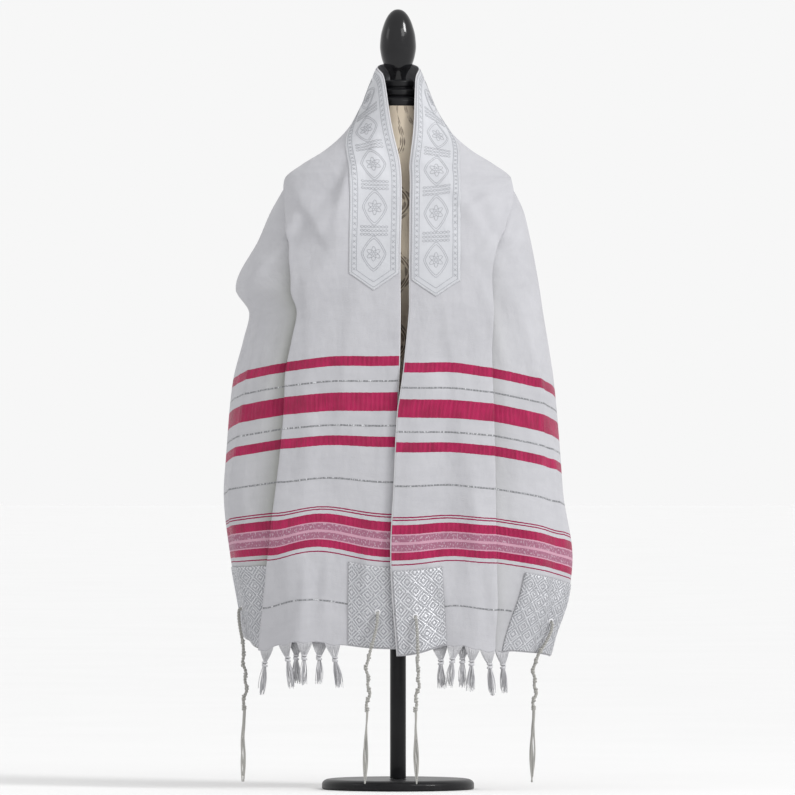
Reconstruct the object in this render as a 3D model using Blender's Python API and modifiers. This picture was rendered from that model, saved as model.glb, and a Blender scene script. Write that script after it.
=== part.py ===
# A tallit (prayer shawl) worn over a limbless dress form on a short pole.
# Units are metres, +Z is up, the wearer's front faces -Y and the floor is z = 0.
# The shawl is one rectangle of cloth. It is laid round the neck, tucked once along its
# whole length, and its two striped ends hang down the front. Tables give millimetres,
# and left and right are as seen from the front.
import bpy
import bmesh
import numpy as np

MM = 0.001

# The cloth, flat
CLOTH_LENGTH = 1740 * MM
CLOTH_WIDTH = 520 * MM
CLOTH_WALL = 1.6 * MM
LAYER_STEP = 4.6 * MM
SEAM_GAP = 0.3 * MM
STRETCH_GAP = 0.5 * MM
FRONT_LENGTH = 560 * MM
TUCK_MARGIN = 14 * MM
TUCK_EASE = 64 * MM
BACK_ROWS = 34
SHOULDER_ROWS = 13

# The neckband, the corner patches and the fringe
BAND_WIDTH = 68 * MM
BAND_INSET = 3 * MM
BAND_START = 509 * MM
BAND_POINT = 17 * MM
BAND_WALL = 1.2 * MM
PATCH_WIDTH = 118 * MM
PATCH_HEIGHT = 118 * MM
PATCH_INSET = 2 * MM
PATCH_WALL = 1.0 * MM
HOLE_UP = 54 * MM
TASSEL_DROP = 1.0 * MM
TASSEL_SPREAD = 8.5 * MM
TASSEL_FAN = 17 * MM
TASSEL_SKIRT = 28 * MM
CORD_RADIUS = 2.4 * MM
CORD_END = 9 * MM
CORD_STRAND = 62 * MM
TASSEL_CLEAR = 9 * MM

# The right front laps over the left one below the breast
LAP_LIFT = 7 * MM
LAP_TOP = 430 * MM
LAP_FULL = 365 * MM
LAP_WIDTH = 75 * MM

# The dress form
REST_GAP = 4.8 * MM
POLE_RADIUS = 11 * MM
BASE_RADIUS = 105 * MM
BASE_HEIGHT = 14 * MM

# Outline of the shawl at a height: half widths, half depths, and how square the ring is
RING_COLUMNS = ("height", "left", "right", "front", "back", "power")
RINGS = (
    (150, 205, 200, 108, 92, 2.5),
    (209, 213, 214, 112, 94, 2.5),
    (268, 223, 233, 115, 95, 2.5),
    (320, 232, 239, 118, 96, 2.5),
    (408, 241, 227, 121, 96, 2.5),
    (454, 238, 224, 123, 96, 2.5),
    (560, 228, 215, 127, 96, 2.5),
    (620, 213, 206, 129, 96, 2.5),
    (656, 205, 200, 130, 96, 2.5),
    (690, 224, 195, 130, 95, 2.4),
    (760, 191, 182, 125, 92, 2.3),
    (808, 171, 170, 110, 87, 2.2),
    (844, 155, 155, 93, 79, 2.1),
    (863, 130, 130, 83, 73, 2.0),
    (881, 101, 101, 73, 66, 2.0),
    (905, 74, 74, 62, 58, 2.0),
    (932, 55, 55, 53, 52, 2.0),
    (975, 37, 37, 39, 38, 2.0),
    (1004, 25, 25, 27, 27, 2.0),
)

# Where the cloth's inner edge, outer tuck and outer edge lie, by distance from the hem.
# Outward distances are from the middle; the last row is the middle of the back. Columns:
# along, inner out and height, tuck out and height, edge out and height, and lift.
LEFT_DRAPE = (
    (0, -2, 195, 189, 193, 999, 209, 12),
    (139, -2, 326, 177, 328, 999, 322, 13),
    (231, -2, 424, 165, 424, 999, 406, 6),
    (337, -1, 534, 155, 528, 999, 504, 2),
    (394, -3, 589, 152, 581, 999, 556, 3),
    (505, -4, 700, 146, 692, 999, 654, 3),
    (545, -4, 740, 148, 732, 218, 688, 3),
    (660, -4, 855, 999, 844, 165, 640, 0),
    (740, 12, 935, 103, 846, 108, 596, 0),
    (800, 21, 986, 58, 842, 58, 566, 0),
)
RIGHT_DRAPE = (
    (0, -2, 186, 131, 193, 999, 183, 11),
    (139, -11, 322, 133, 324, 999, 296, 4),
    (231, -6, 419, 132, 415, 999, 388, 3),
    (337, -1, 525, 130, 519, 999, 489, 1),
    (394, 7, 580, 128, 573, 999, 542, 3),
    (505, 15, 691, 128, 684, 999, 644, 3),
    (545, 15, 731, 128, 724, 190, 668, 3),
    (660, 16, 846, 999, 844, 150, 630, 0),
    (740, 22, 924, 103, 846, 105, 592, 0),
    (800, 25, 984, 58, 842, 58, 566, 0),
)
BACK_ROW = (870, 0, 1003, 0, 840, 0, 556, 0)
MOST_SLANT = 0.3
EDGE_TURN_POWER = 0.8
EDGE_TURN_ZONE = (500 * MM, 600 * MM)
TUCK_TURN = 660
EDGE_TURN = 505
INNER_TURN = 810

# Soft folds: bearing round the body from the front by way of the left side, spread,
# depth, top and bottom
FOLDS = (
    (16, 9, -4, 600, 250),
    (34, 8, 4, 560, 250),
    (66, 9, 5, 640, 300),
    (80, 8, -4, 560, 300),
    (108, 10, -5, 800, 640),
    (126, 10, 6, 820, 640),
    (146, 10, -6, 800, 600),
    (166, 9, 6, 790, 580),
    (188, 9, -5, 800, 580),
    (208, 10, 6, 790, 600),
    (228, 10, -6, 810, 620),
    (247, 9, 4, 800, 640),
    (281, 8, 4, 560, 260),
    (296, 9, -5, 620, 260),
    (335, 9, 4, 540, 250),
    (347, 8, -3, 560, 250),
)

# Tassels along the hem: name, the layer of the tuck they hang from, distance out, and lean
LEFT_TASSELS = (("a", 0, 93, -0.9), ("b", 0, 131, 0.1), ("c", 0, 160, -1.1), ("d", 0, 191, 0.9),
                ("e", 2, 112, 0.2), ("f", 2, 146, -0.2))
RIGHT_TASSELS = (("a", 0, 82, -0.9), ("b", 0, 106, -0.3), ("c", 0, 128, 0.8),
                 ("d", 2, 62, 0.2), ("e", 2, 94, -0.2), ("f", 2, 152, 0.4))

# The knotted cord at each corner, how far in its hole lies, and which way it sways
CORNER_CORDS = (("left_inner", "left", "inner", 30, -1.0),
                ("left_outer", "left", "outer", 30, -0.6),
                ("right_inner", "right", "inner", 30, 0.5),
                ("right_outer", "right", "outer", 50, -0.8))

# The torso below the shoulders, the heights of its rings, and the turned pieces from the top
TORSO_COLUMNS = ("height", "side", "front", "back")
TORSO = (
    (424, 92, 70, 66),
    (438, 112, 86, 80),
    (500, 126, 96, 86),
    (560, 118, 90, 78),
    (625, 102, 82, 66),
    (690, 118, 104, 72),
    (735, 132, 118, 76),
    (780, 137, 108, 76),
    (820, 140, 93, 72),
)
FINIAL_PROFILE = ((0, 1076), (7, 1074), (14, 1067), (20, 1054), (24, 1038), (25, 1024),
                  (23, 1010), (18.5, 997), (13, 988), (11, 981), (11, 978.3), (0, 978.3))
CAP_PROFILE = ((0, 978), (20, 978), (22, 975), (22, 970), (20, 968), (24, 966), (27, 963),
               (27, 958), (25, 956), (30, 953.5), (33.5, 950), (34, 944), (33, 942.3),
               (0, 942.3))
TORSO_HEIGHTS = (424, 438, 470, 500, 530, 560, 592, 625, 658, 690, 712, 735, 758, 780, 800,
                 820, 834, 845, 854, 863, 872, 882, 894, 910, 926, 942)


def column(rows, columns, name):
    return np.array([row[columns.index(name)] for row in rows], float)


def smooth(knots, values, at):
    # A cubic through every knot that keeps each stretch between its own two values.
    step = np.diff(knots)
    slope = np.diff(values) / step
    tangent = np.zeros(len(knots))
    tangent[0] = slope[0]
    tangent[-1] = slope[-1]
    before, after = slope[:-1], slope[1:]
    turn = before * after <= 0
    first = 2 * step[1:] + step[:-1]
    second = step[1:] + 2 * step[:-1]
    safe_before = np.where(turn, 1, before)
    safe_after = np.where(turn, 1, after)
    mean = (first + second) / (first / safe_before + second / safe_after)
    tangent[1:-1] = np.where(turn, 0, mean)
    place = np.clip(np.searchsorted(knots, at, side="right") - 1, 0, len(step) - 1)
    width = step[place]
    part = (at - knots[place]) / width
    left = (1 + 2 * part) * (1 - part) ** 2 * values[place]
    left_slope = part * (1 - part) ** 2 * width * tangent[place]
    right = part ** 2 * (3 - 2 * part) * values[place + 1]
    right_slope = part ** 2 * (part - 1) * width * tangent[place + 1]
    return left + left_slope + right + right_slope


def ramp(value, low, high):
    part = np.clip((value - low) / (high - low), 0, 1)
    return part * part * (3 - 2 * part)


RING_HEIGHTS = column(RINGS, RING_COLUMNS, "height") * MM


def ring_size(name, height):
    return smooth(RING_HEIGHTS, column(RINGS, RING_COLUMNS, name), height)


def outline(bearing, height):
    # A point on the shawl's outline: bearing 0 is the front, 90 the left side, 180 the back.
    angle = np.radians(bearing)
    power = 2 / ring_size("power", height)
    across = np.sign(np.sin(angle)) * np.abs(np.sin(angle)) ** power
    along = np.sign(np.cos(angle)) * np.abs(np.cos(angle)) ** power
    half_width = np.where(across > 0, ring_size("left", height), ring_size("right", height)) * MM
    half_depth = np.where(along > 0, ring_size("front", height), ring_size("back", height)) * MM
    return np.stack([-half_width * across, -half_depth * along, height], axis=-1)


def outward(bearing, height):
    # The outline's unit normal, from two small steps on it.
    turn, rise = 0.6, 2 * MM
    round_step = outline(bearing + turn, height) - outline(bearing - turn, height)
    up_step = outline(bearing, height + rise) - outline(bearing, height - rise)
    normal = np.cross(up_step, round_step)
    return normal / np.linalg.norm(normal, axis=-1, keepdims=True)


def bearing_of(out, height, side, behind):
    # The bearing at which a line lies this far out from the middle at this height.
    half_width = float(ring_size(side, height * MM))
    power = 2 / float(ring_size("power", height * MM))
    share = min(abs(out) / half_width, 1) ** (1 / power)
    angle = np.degrees(np.arcsin(share)) * np.sign(out)
    angle = 180 - angle if behind else angle
    return angle if side == "left" else 360 - angle


def drape_rows():
    # Every station along the whole cloth: left hem, round the back, right hem.
    rows = []
    for side, table in (("left", LEFT_DRAPE), ("right", RIGHT_DRAPE)):
        for row in table:
            along, inner_out, inner_z, tuck_out, tuck_z, edge_out, edge_z, lift = row
            place = along * MM if side == "left" else CLOTH_LENGTH - along * MM
            inner = bearing_of(inner_out, inner_z, side, along > INNER_TURN)
            tuck = bearing_of(tuck_out, tuck_z, side, along > TUCK_TURN)
            edge = bearing_of(edge_out, edge_z, side, along > EDGE_TURN)
            rows.append((place, inner, inner_z, tuck, tuck_z, edge, edge_z, lift))
    back = BACK_ROW
    rows.append((CLOTH_LENGTH / 2, 180, back[2], 180, back[4], 180, back[6], 0))
    return np.array(sorted(rows))


STATIONS = drape_rows()


def control(index, along):
    return smooth(STATIONS[:, 0], STATIONS[:, index], np.atleast_1d(along))[0]


def fold_depth(bearing, height):
    # Soft ridges and troughs, growing downward between their top and bottom heights.
    total = np.zeros_like(bearing)
    for middle, spread, depth, top, bottom in FOLDS:
        near = np.exp(-((bearing - middle) / spread) ** 2)
        total += near * depth * MM * (1 - ramp(height, bottom * MM, top * MM))
    return total


def lap_lift(along, out):
    # The right front stands forward near its inner edge, over the left front.
    from_hem = CLOTH_LENGTH - along
    low = 1 - ramp(from_hem, LAP_FULL, LAP_TOP)
    return LAP_LIFT * low * (1 - ramp(out, LAP_WIDTH * 0.35, LAP_WIDTH))


class Rib:
    # The cloth's path across its width at one distance along it.
    samples = 220

    def __init__(self, along):
        self.along = along
        part = np.linspace(0, 1, self.samples)
        knots = np.array([0, 0.5, 1])
        bearings = np.array([control(1, along), control(3, along), control(5, along)])
        heights = np.array([control(2, along), control(4, along), control(6, along)]) * MM
        inner = part <= 0.5
        turn = 1 + EDGE_TURN_POWER * ramp(min(along, CLOTH_LENGTH - along), *EDGE_TURN_ZONE)
        past = np.clip(part * 2 - 1, 0, 1)
        swung = bearings[1] + (bearings[2] - bearings[1]) * (1 - (1 - past) ** turn)
        fallen = heights[1] + (heights[2] - heights[1]) * past ** turn
        hump = np.sin(np.pi * np.clip(part * 2, 0, 1)) ** 2
        lift = control(7, along) * MM * hump
        self.bearing = np.where(inner, smooth(knots, bearings, part), swung)
        self.height = np.where(inner, smooth(knots, heights, part), fallen) + lift
        points = outline(self.bearing, self.height)
        steps = np.linalg.norm(np.diff(points, axis=0), axis=1)
        self.reach = np.concatenate([[0], np.cumsum(steps)])
        self.full = self.reach[-1]
        self.tuck = float(np.interp(0.5, part, self.reach))
        spare = (CLOTH_WIDTH - self.full) / 2
        self.overlap = float(np.clip(spare, TUCK_MARGIN, self.tuck - TUCK_MARGIN))

    def place(self, out, lift):
        # Points at these distances along the outline, moved off it by lift.
        out = np.asarray(out, float)
        bearing = np.interp(out, self.reach, self.bearing)
        height = np.interp(out, self.reach, self.height)
        points = outline(bearing, height)
        normal = outward(bearing, height)
        raised = lift + fold_depth(bearing, height) + lap_lift(self.along, out)
        past = np.maximum(out - self.full, 0)[:, None]
        ends = outline(self.bearing[-2:], self.height[-2:])
        heading = (ends[1] - ends[0]) / np.linalg.norm(ends[1] - ends[0])
        return points + normal * raised[:, None] + heading * past

    def under(self, out):
        # How deep the outer layer lies: under the tuck, then easing out past it.
        eased = ramp(np.asarray(out, float), self.tuck + TUCK_EASE / 8, self.tuck + TUCK_EASE)
        return -2 * LAYER_STEP * (1 - eased)

    def slant(self):
        # How much wider a bend is along the rib than square across the tuck's line.
        step = 2 * MM
        ends = [outline(control(3, self.along + move), control(4, self.along + move) * MM)
                for move in (-step, step)]
        line = ends[1] - ends[0]
        path = np.diff(self.place([self.tuck - step, self.tuck + step], np.zeros(2)), axis=0)[0]
        sine = np.linalg.norm(np.cross(line, path))
        sine /= np.linalg.norm(line) * np.linalg.norm(path)
        return 1 / max(sine, MOST_SLANT)


def bend(start, toward, count, slant):
    # Half a turn between two layers: steps out past the fold and down one layer.
    turns = np.linspace(0, np.pi, count + 2)[1:-1]
    out = start + toward * slant * np.sin(turns) * LAYER_STEP / 2
    depth = -(1 - np.cos(turns)) * LAYER_STEP / 2
    return out, depth


def inner_places():
    # Places across the cloth that its inner edge, neckband and inner patches share.
    return BAND_INSET + np.linspace(0, BAND_WIDTH, 5)


def outer_places():
    # Places in from the cloth's outer edge that it shares with its outer patches.
    return PATCH_INSET + np.linspace(PATCH_WIDTH, 0, 5)


def rib_path(rib, front=7, middle=7, last=6, turn=3):
    # One row of the cloth: front layer, bend, hidden layer, bend, and the outer layer.
    back_in = rib.tuck - rib.overlap
    near = inner_places()
    far = rib.full - outer_places()
    slant = rib.slant()
    first_bend = bend(rib.tuck, 1, turn, slant)
    second_bend = bend(back_in, -1, turn, slant)
    top = np.concatenate([[0], near, np.linspace(near[-1], rib.tuck, front)[1:]])
    low = np.concatenate([np.linspace(back_in, far[0], last)[:-1], far, [rib.full]])
    out = np.concatenate([top, first_bend[0], np.linspace(rib.tuck, back_in, middle),
                          second_bend[0], low])
    depth = np.concatenate([
        np.zeros(len(top)), first_bend[1], np.full(middle, -LAYER_STEP),
        second_bend[1] - LAYER_STEP, rib.under(low)])
    return out, depth, len(top), len(low)


def cloth_rows():
    # Distances along the whole cloth at which it has a row: closer at the hems and back.
    front = np.concatenate([[0, PATCH_INSET], np.arange(1, 15) * FRONT_LENGTH / 14])
    back = np.linspace(FRONT_LENGTH, CLOTH_LENGTH - FRONT_LENGTH, BACK_ROWS + 1)
    return np.concatenate([front, back[1:-1], CLOTH_LENGTH - front[::-1]])


class Cloth:
    # The draped cloth as a grid: a row for each distance along it, a column for each place across.

    def __init__(self):
        self.rows = cloth_rows()
        ribs = [Rib(along) for along in self.rows]
        paths = [rib_path(rib) for rib in ribs]
        self.full = np.array([rib.full for rib in ribs])
        self.outs = np.array([path[0] for path in paths])
        self.front_count, self.outer_count = paths[0][2:]
        self.points = np.array([rib.place(*path[:2]) for rib, path in zip(ribs, paths)])
        along = np.gradient(self.points, self.rows, axis=0)
        across = np.gradient(self.points, axis=1)
        normals = np.cross(along, across)
        self.normals = normals / np.linalg.norm(normals, axis=-1, keepdims=True)
        self.along = along / np.linalg.norm(along, axis=-1, keepdims=True)

    def spot(self, along, out, outer=False, from_edge=False):
        # A point between the grid's own points on the front or the outer layer, and its normal.
        after = int(np.clip(np.searchsorted(self.rows, along), 1, len(self.rows) - 1))
        part = (along - self.rows[after - 1]) / (self.rows[after] - self.rows[after - 1])
        columns = slice(-self.outer_count, None) if outer else slice(0, self.front_count)
        found = []
        for row in (after - 1, after):
            place = self.full[row] - out if from_edge else out
            outs = self.outs[row, columns]
            found.append([[np.interp(place, outs, values[row, columns, axis]) for axis in range(3)]
                          for values in (self.points, self.normals)])
        point, normal = np.array(found[0]) * (1 - part) + np.array(found[1]) * part
        return point, normal / np.linalg.norm(normal)


def wall_mesh(places, points, normals, wall):
    # The two faces of a sheet and the rim between them, as one closed shell. Its diagonals
    # run the other way on the cloth's left half, because the two halves slant apart.
    rows, columns = points.shape[:2]
    count = rows * columns
    both = np.concatenate([points + normals * wall / 2, points - normals * wall / 2])
    place = np.arange(count).reshape(rows, columns)
    near, beside = place[:-1, :-1].ravel(), place[:-1, 1:].ravel()
    above, across = place[1:, :-1].ravel(), place[1:, 1:].ravel()
    left = np.repeat(places[:-1] < CLOTH_LENGTH / 2 - MM, columns - 1)
    halves = np.concatenate([np.stack([near, beside, np.where(left, above, across)], -1),
                             np.stack([np.where(left, beside, near), across, above], -1)])
    faces = halves.tolist() + (halves[:, ::-1] + count).tolist()
    sides = (place[0], place[-1], place[:, 0], place[:, -1])
    edge = np.concatenate([side[:-1] for side in sides])
    after = np.concatenate([side[1:] for side in sides])
    faces += np.stack([edge, after, after + count], -1).tolist()
    faces += np.stack([edge, after + count, edge + count], -1).tolist()
    return both.reshape(-1, 3), faces


def material(name, colour, roughness, metallic=0):
    made = bpy.data.materials.new(name)
    made.use_nodes = True
    shader = made.node_tree.nodes["Principled BSDF"]
    shader.inputs["Base Color"].default_value = (*colour, 1)
    shader.inputs["Roughness"].default_value = roughness
    shader.inputs["Metallic"].default_value = metallic
    return made


def mesh_object(name, points, faces, look, group, smooth_angle=40):
    mesh = bpy.data.meshes.new(name)
    mesh.from_pydata([tuple(point) for point in points], [], faces)
    mesh.materials.append(look)
    mesh.shade_smooth()
    mesh.set_sharp_from_angle(angle=np.radians(smooth_angle))
    made = bpy.data.objects.new(name, mesh)
    group.objects.link(made)
    return made


def face_outward(made):
    # Turns every face of a closed mesh outward.
    work = bmesh.new()
    work.from_mesh(made.data)
    bmesh.ops.recalc_face_normals(work, faces=work.faces)
    work.to_mesh(made.data)
    work.free()
    return made


def sheet_object(name, places, points, normals, wall, look, group):
    both, faces = wall_mesh(places, points, normals, wall)
    return face_outward(mesh_object(name, both, faces, look, group))


def build_cloth(cloth, look, group):
    # The one length of cloth in its five stretches, a hair apart where they meet.
    rows = cloth.rows
    first = int(np.argmin(np.abs(rows - FRONT_LENGTH)))
    second = int(np.argmin(np.abs(rows - CLOTH_LENGTH + FRONT_LENGTH)))
    stretches = (("tallit_left_front", 0, first),
                 ("tallit_left_shoulder", first, first + SHOULDER_ROWS),
                 ("tallit_back", first + SHOULDER_ROWS, second - SHOULDER_ROWS),
                 ("tallit_right_shoulder", second - SHOULDER_ROWS, second),
                 ("tallit_right_front", second, len(rows) - 1))
    for name, low, high in stretches:
        part = cloth.points[low:high + 1].copy()
        if low > 0:
            part[0] += cloth.along[low] * STRETCH_GAP / 2
        if high < len(rows) - 1:
            part[-1] -= cloth.along[high] * STRETCH_GAP / 2
        sheet_object(name, rows[low:high + 1], part, cloth.normals[low:high + 1], CLOTH_WALL,
                     look, group)


def build_neckband(cloth, look, group):
    # A strip along the inner edge, with a point at each end, laid on the cloth's outer face.
    lift = CLOTH_WALL / 2 + SEAM_GAP + BAND_WALL / 2
    places = inner_places()
    columns = slice(1, 1 + len(places))
    body = (cloth.rows > BAND_START) & (cloth.rows < CLOTH_LENGTH - BAND_START)
    facing = cloth.normals[body][:, columns]
    strip = cloth.points[body][:, columns] + facing * lift
    tips = BAND_START - BAND_POINT * (1 - np.abs(np.linspace(-1, 1, len(places))))
    ends = np.array([[cloth.spot(tip, out) for tip, out in zip(starts, places)]
                     for starts in (tips, CLOTH_LENGTH - tips)])
    facing = np.concatenate([ends[:1, :, 1], facing, ends[1:, :, 1]])
    strip = np.concatenate([ends[:1, :, 0] + ends[:1, :, 1] * lift, strip,
                            ends[1:, :, 0] + ends[1:, :, 1] * lift])
    rows = np.concatenate([[tips.min()], cloth.rows[body], [CLOTH_LENGTH - tips.min()]])
    sheet_object("neckband", rows, strip, facing, BAND_WALL, look, group)


def build_patches(cloth, look, group):
    # A patch on each corner, made from the cloth's own points.
    lift = CLOTH_WALL / 2 + 2 * SEAM_GAP + PATCH_WALL / 2
    top = PATCH_INSET + PATCH_HEIGHT + 1 * MM
    inner = slice(1, 1 + len(inner_places()))
    outer = slice(-1 - len(outer_places()), -1)
    for side, from_hem in (("left", cloth.rows), ("right", CLOTH_LENGTH - cloth.rows)):
        chosen = (from_hem > 0.5 * PATCH_INSET) & (from_hem < top)
        for edge, columns in (("inner", inner), ("outer", outer)):
            facing = cloth.normals[chosen][:, columns]
            spots = cloth.points[chosen][:, columns] + facing * lift
            sheet_object(f"patch_{side}_{edge}", cloth.rows[chosen], spots, facing, PATCH_WALL,
                         look, group)


def knot_ring(centre, across, deep, width, thick):
    # Eight points round a knot: the corners and side middles of a rounded rectangle.
    steps = ((-1, -1), (-0.33, -1.1), (0.33, -1.1), (1, -1),
             (1, 1), (0.33, 1.1), (-0.33, 1.1), (-1, 1))
    return [centre + across * (a * width / 2) + deep * (b * thick / 2) for a, b in steps]


def lock(points, faces, corners, path, taper):
    # Carries one face of the knot along a path as a strand of four sides.
    centre = sum(points[item] for item in corners) / len(corners)
    before = corners
    for step, share in zip(path, taper):
        start = len(points)
        for item in corners:
            points.append(centre + step + (points[item] - centre) * share)
        ring = list(range(start, start + len(corners)))
        for item in range(len(corners)):
            after = (item + 1) % len(corners)
            faces.append((before[item], before[after], ring[after], ring[item]))
        before = ring
    faces.append(tuple(before))


def build_tassel(name, tops, look, group, lean):
    # Three strands from the hem drawn into a knot, and three locks hanging below it.
    down = np.array([0, 0, -1.0])
    across = (tops[2] - tops[0]) * np.array([1, 1, 0])
    across /= np.linalg.norm(across)
    deep = np.cross(-down, across)
    knot = tops[1] + down * (TASSEL_FAN + 3 * MM) + across * lean * 4 * MM
    points = []
    sizes = ((-4, 5.0, 4.2), (-1, 8.2, 7.0), (3, 8.2, 7.0), (6, 6.4, 5.2))
    for drop, width, thick in sizes:
        points += knot_ring(knot + down * drop * MM, across, deep, width * MM, thick * MM)
    faces = []
    for level in range(len(sizes) - 1):
        for item in range(8):
            after = (item + 1) % 8
            low = level * 8
            faces.append((low + item, low + after, low + 8 + after, low + 8 + item))
    thirds = ((0, 1, 6, 7), (1, 2, 5, 6), (2, 3, 4, 5))
    for top, corners in zip(tops, thirds):
        centre = sum(points[item] for item in corners) / 4
        lock(points, faces, corners, [top - centre], [0.5])
    base = (len(sizes) - 1) * 8
    for item, corners in enumerate(thirds):
        side = item - 1
        path = [across * (side * 2.6 + lean * 2) * MM + down * TASSEL_SKIRT * 0.45,
                across * (side * 4.2 + lean * 5) * MM + down * TASSEL_SKIRT]
        below = tuple(base + corner for corner in corners)
        lock(points, faces, below[::-1], path, [1.25, 0.9])
    return face_outward(mesh_object(name, points, faces, look, group))


def build_tassels(cloth, look, group):
    for side, table in (("left", LEFT_TASSELS), ("right", RIGHT_TASSELS)):
        hem = 0 if side == "left" else CLOTH_LENGTH
        for name, layer, out, lean in table:
            places = np.array([-TASSEL_SPREAD, 0, TASSEL_SPREAD]) + out * MM
            tops = np.array([cloth.spot(hem, place, outer=layer > 0)[0] for place in places])
            tops[:, 2] -= TASSEL_DROP
            build_tassel(f"tassel_{side}_{name}", tops, look, group, lean)


def tube(name, path, radii, look, group, sides=6, strands=()):
    # A twisted cord as rings along a path; its end splits into the given strands.
    points = []
    faces = []
    for level, (centre, radius) in enumerate(zip(path, radii)):
        for item in range(sides):
            angle = 2 * np.pi * item / sides + level * 0.25
            reach = radius * np.array([np.cos(angle), np.sin(angle), 0])
            points.append(np.array(centre, float) + reach)
    for level in range(len(path) - 1):
        low = level * sides
        for item in range(sides):
            after = (item + 1) % sides
            faces.append((low + item, low + after, low + sides + after, low + sides + item))
    faces.append(tuple(range(sides)))
    base = (len(path) - 1) * sides
    ring = [base + item for item in range(sides)]
    for corners in ((0, 1, 2, 3), (3, 4, 5, 0)):
        chosen = tuple(ring[corner] for corner in corners)
        away = sum(points[item] for item in chosen) / 4 - np.array(path[-1])
        away /= np.linalg.norm(away)
        steps = [away * spread + step for spread, step in strands]
        lock(points, faces, chosen, steps, [0.7, 0.6, 0.5])
    return face_outward(mesh_object(name, points, faces, look, group))


def build_corner_cords(cloth, look, group):
    # A knotted cord from the hole in each corner patch, split in two strands at its foot.
    lift = CLOTH_WALL / 2 + 3 * SEAM_GAP + PATCH_WALL + CORD_RADIUS
    for name, side, edge, hole_in, sway in CORNER_CORDS:
        outer = edge == "outer"
        spots = []
        for up in (HOLE_UP, 0):
            along = up if side == "left" else CLOTH_LENGTH - up
            point, normal = cloth.spot(along, hole_in * MM, outer, from_edge=outer)
            spots.append(point + normal * lift)
            away = normal * np.array([1, 1, 0])
        hole, hem = spots
        away /= np.linalg.norm(away)
        forward = away * TASSEL_CLEAR
        foot = CORD_END + CORD_STRAND
        path = []
        radii = []
        levels = 17
        for level in range(levels):
            part = level / (levels - 1)
            drop = hole[2] + (foot - hole[2]) * part
            below = ramp(hem[2] - drop, 0, 40 * MM)
            near = np.clip((hole[2] - drop) / (hole[2] - hem[2]), 0, 1)
            spot = hole * (1 - near) + hem * near + forward * near ** 0.5
            wave = np.sin(part * 9 + sway) * 2.5 * MM * below
            spot = spot + np.array([sway * 7 * MM * below * part + wave, 0, 0])
            spot[2] = drop
            path.append(spot)
            radii.append(CORD_RADIUS * (1.25 if level in (6, 8, 10, 12) else 0.9))
        strands = [(3.4 * MM * part ** 0.5, np.array([sway * 2 * MM, 0, -CORD_STRAND]) * part)
                   for part in (0.25, 0.62, 1.0)]
        tube(f"corner_cord_{name}", path, radii, look, group, strands=strands)


def turned_piece(name, profile, look, group, scale=MM, steps=24):
    # A profile, outer side from top to bottom, spun about the stand's axis.
    points = [(across * scale, 0, height * scale) for across, height in profile]
    mesh = bpy.data.meshes.new(name)
    mesh.from_pydata(points, [(item, item + 1) for item in range(len(points) - 1)], [])
    mesh.materials.append(look)
    made = bpy.data.objects.new(name, mesh)
    group.objects.link(made)
    spin = made.modifiers.new("Turned", "SCREW")
    spin.steps = steps
    spin.render_steps = steps
    spin.use_merge_vertices = True
    spin.merge_threshold = 0.00001
    spin.use_smooth_shade = True
    return made


def torso_ring(height, sides):
    # Above the shoulders' widest place the torso is the shawl's outline moved inward.
    angles = np.linspace(0, 2 * np.pi, sides, endpoint=False)
    inset = 2 * LAYER_STEP + CLOTH_WALL / 2 + REST_GAP
    rise = 1 * MM
    if height * 1000 > TORSO[-1][0]:
        sizes = []
        for name in ("left", "front", "back"):
            size = ring_size(name, height)
            slope = (ring_size(name, height + rise) - ring_size(name, height - rise)) / 2
            sizes.append((size - inset / MM * np.sqrt(1 + slope ** 2)) * MM)
    else:
        knots = column(TORSO, TORSO_COLUMNS, "height") * MM
        sizes = [smooth(knots, column(TORSO, TORSO_COLUMNS, name), height) * MM
                 for name in ("side", "front", "back")]
    side, front, back = sizes
    across = np.sin(angles) * side
    deep = -np.cos(angles) * np.where(np.cos(angles) > 0, front, back)
    return np.stack([across, deep, np.full(sides, height)], axis=-1)


def build_torso(look, group):
    heights = np.array(TORSO_HEIGHTS) * MM
    sides = 32
    grid = np.array([torso_ring(height, sides) for height in heights])
    faces = []
    for level in range(len(heights) - 1):
        for item in range(sides):
            after = (item + 1) % sides
            low = level * sides
            faces.append((low + item, low + after, low + sides + after, low + sides + item))
    faces.append(tuple(range(sides)))
    faces.append(tuple((len(heights) - 1) * sides + item for item in range(sides)))
    made = mesh_object("form_torso", grid.reshape(-1, 3), faces, look, group)
    return face_outward(made)


def build_form(print_cloth, black, group):
    build_torso(print_cloth, group)
    turned_piece("form_finial", FINIAL_PROFILE, black, group)
    turned_piece("form_neck_cap", CAP_PROFILE, black, group)
    pole_top = TORSO[0][0] * MM - SEAM_GAP
    pole_foot = BASE_HEIGHT + SEAM_GAP
    pole = ((0, pole_top), (POLE_RADIUS, pole_top), (POLE_RADIUS, pole_foot), (0, pole_foot))
    turned_piece("form_pole", pole, black, group, 1)
    rim = BASE_RADIUS
    base = ((0, BASE_HEIGHT), (rim - 12 * MM, BASE_HEIGHT), (rim - 4 * MM, BASE_HEIGHT - 2 * MM),
            (rim, BASE_HEIGHT - 7 * MM), (rim, 0), (0, 0))
    turned_piece("form_base", base, black, group, 1, 48)


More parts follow.
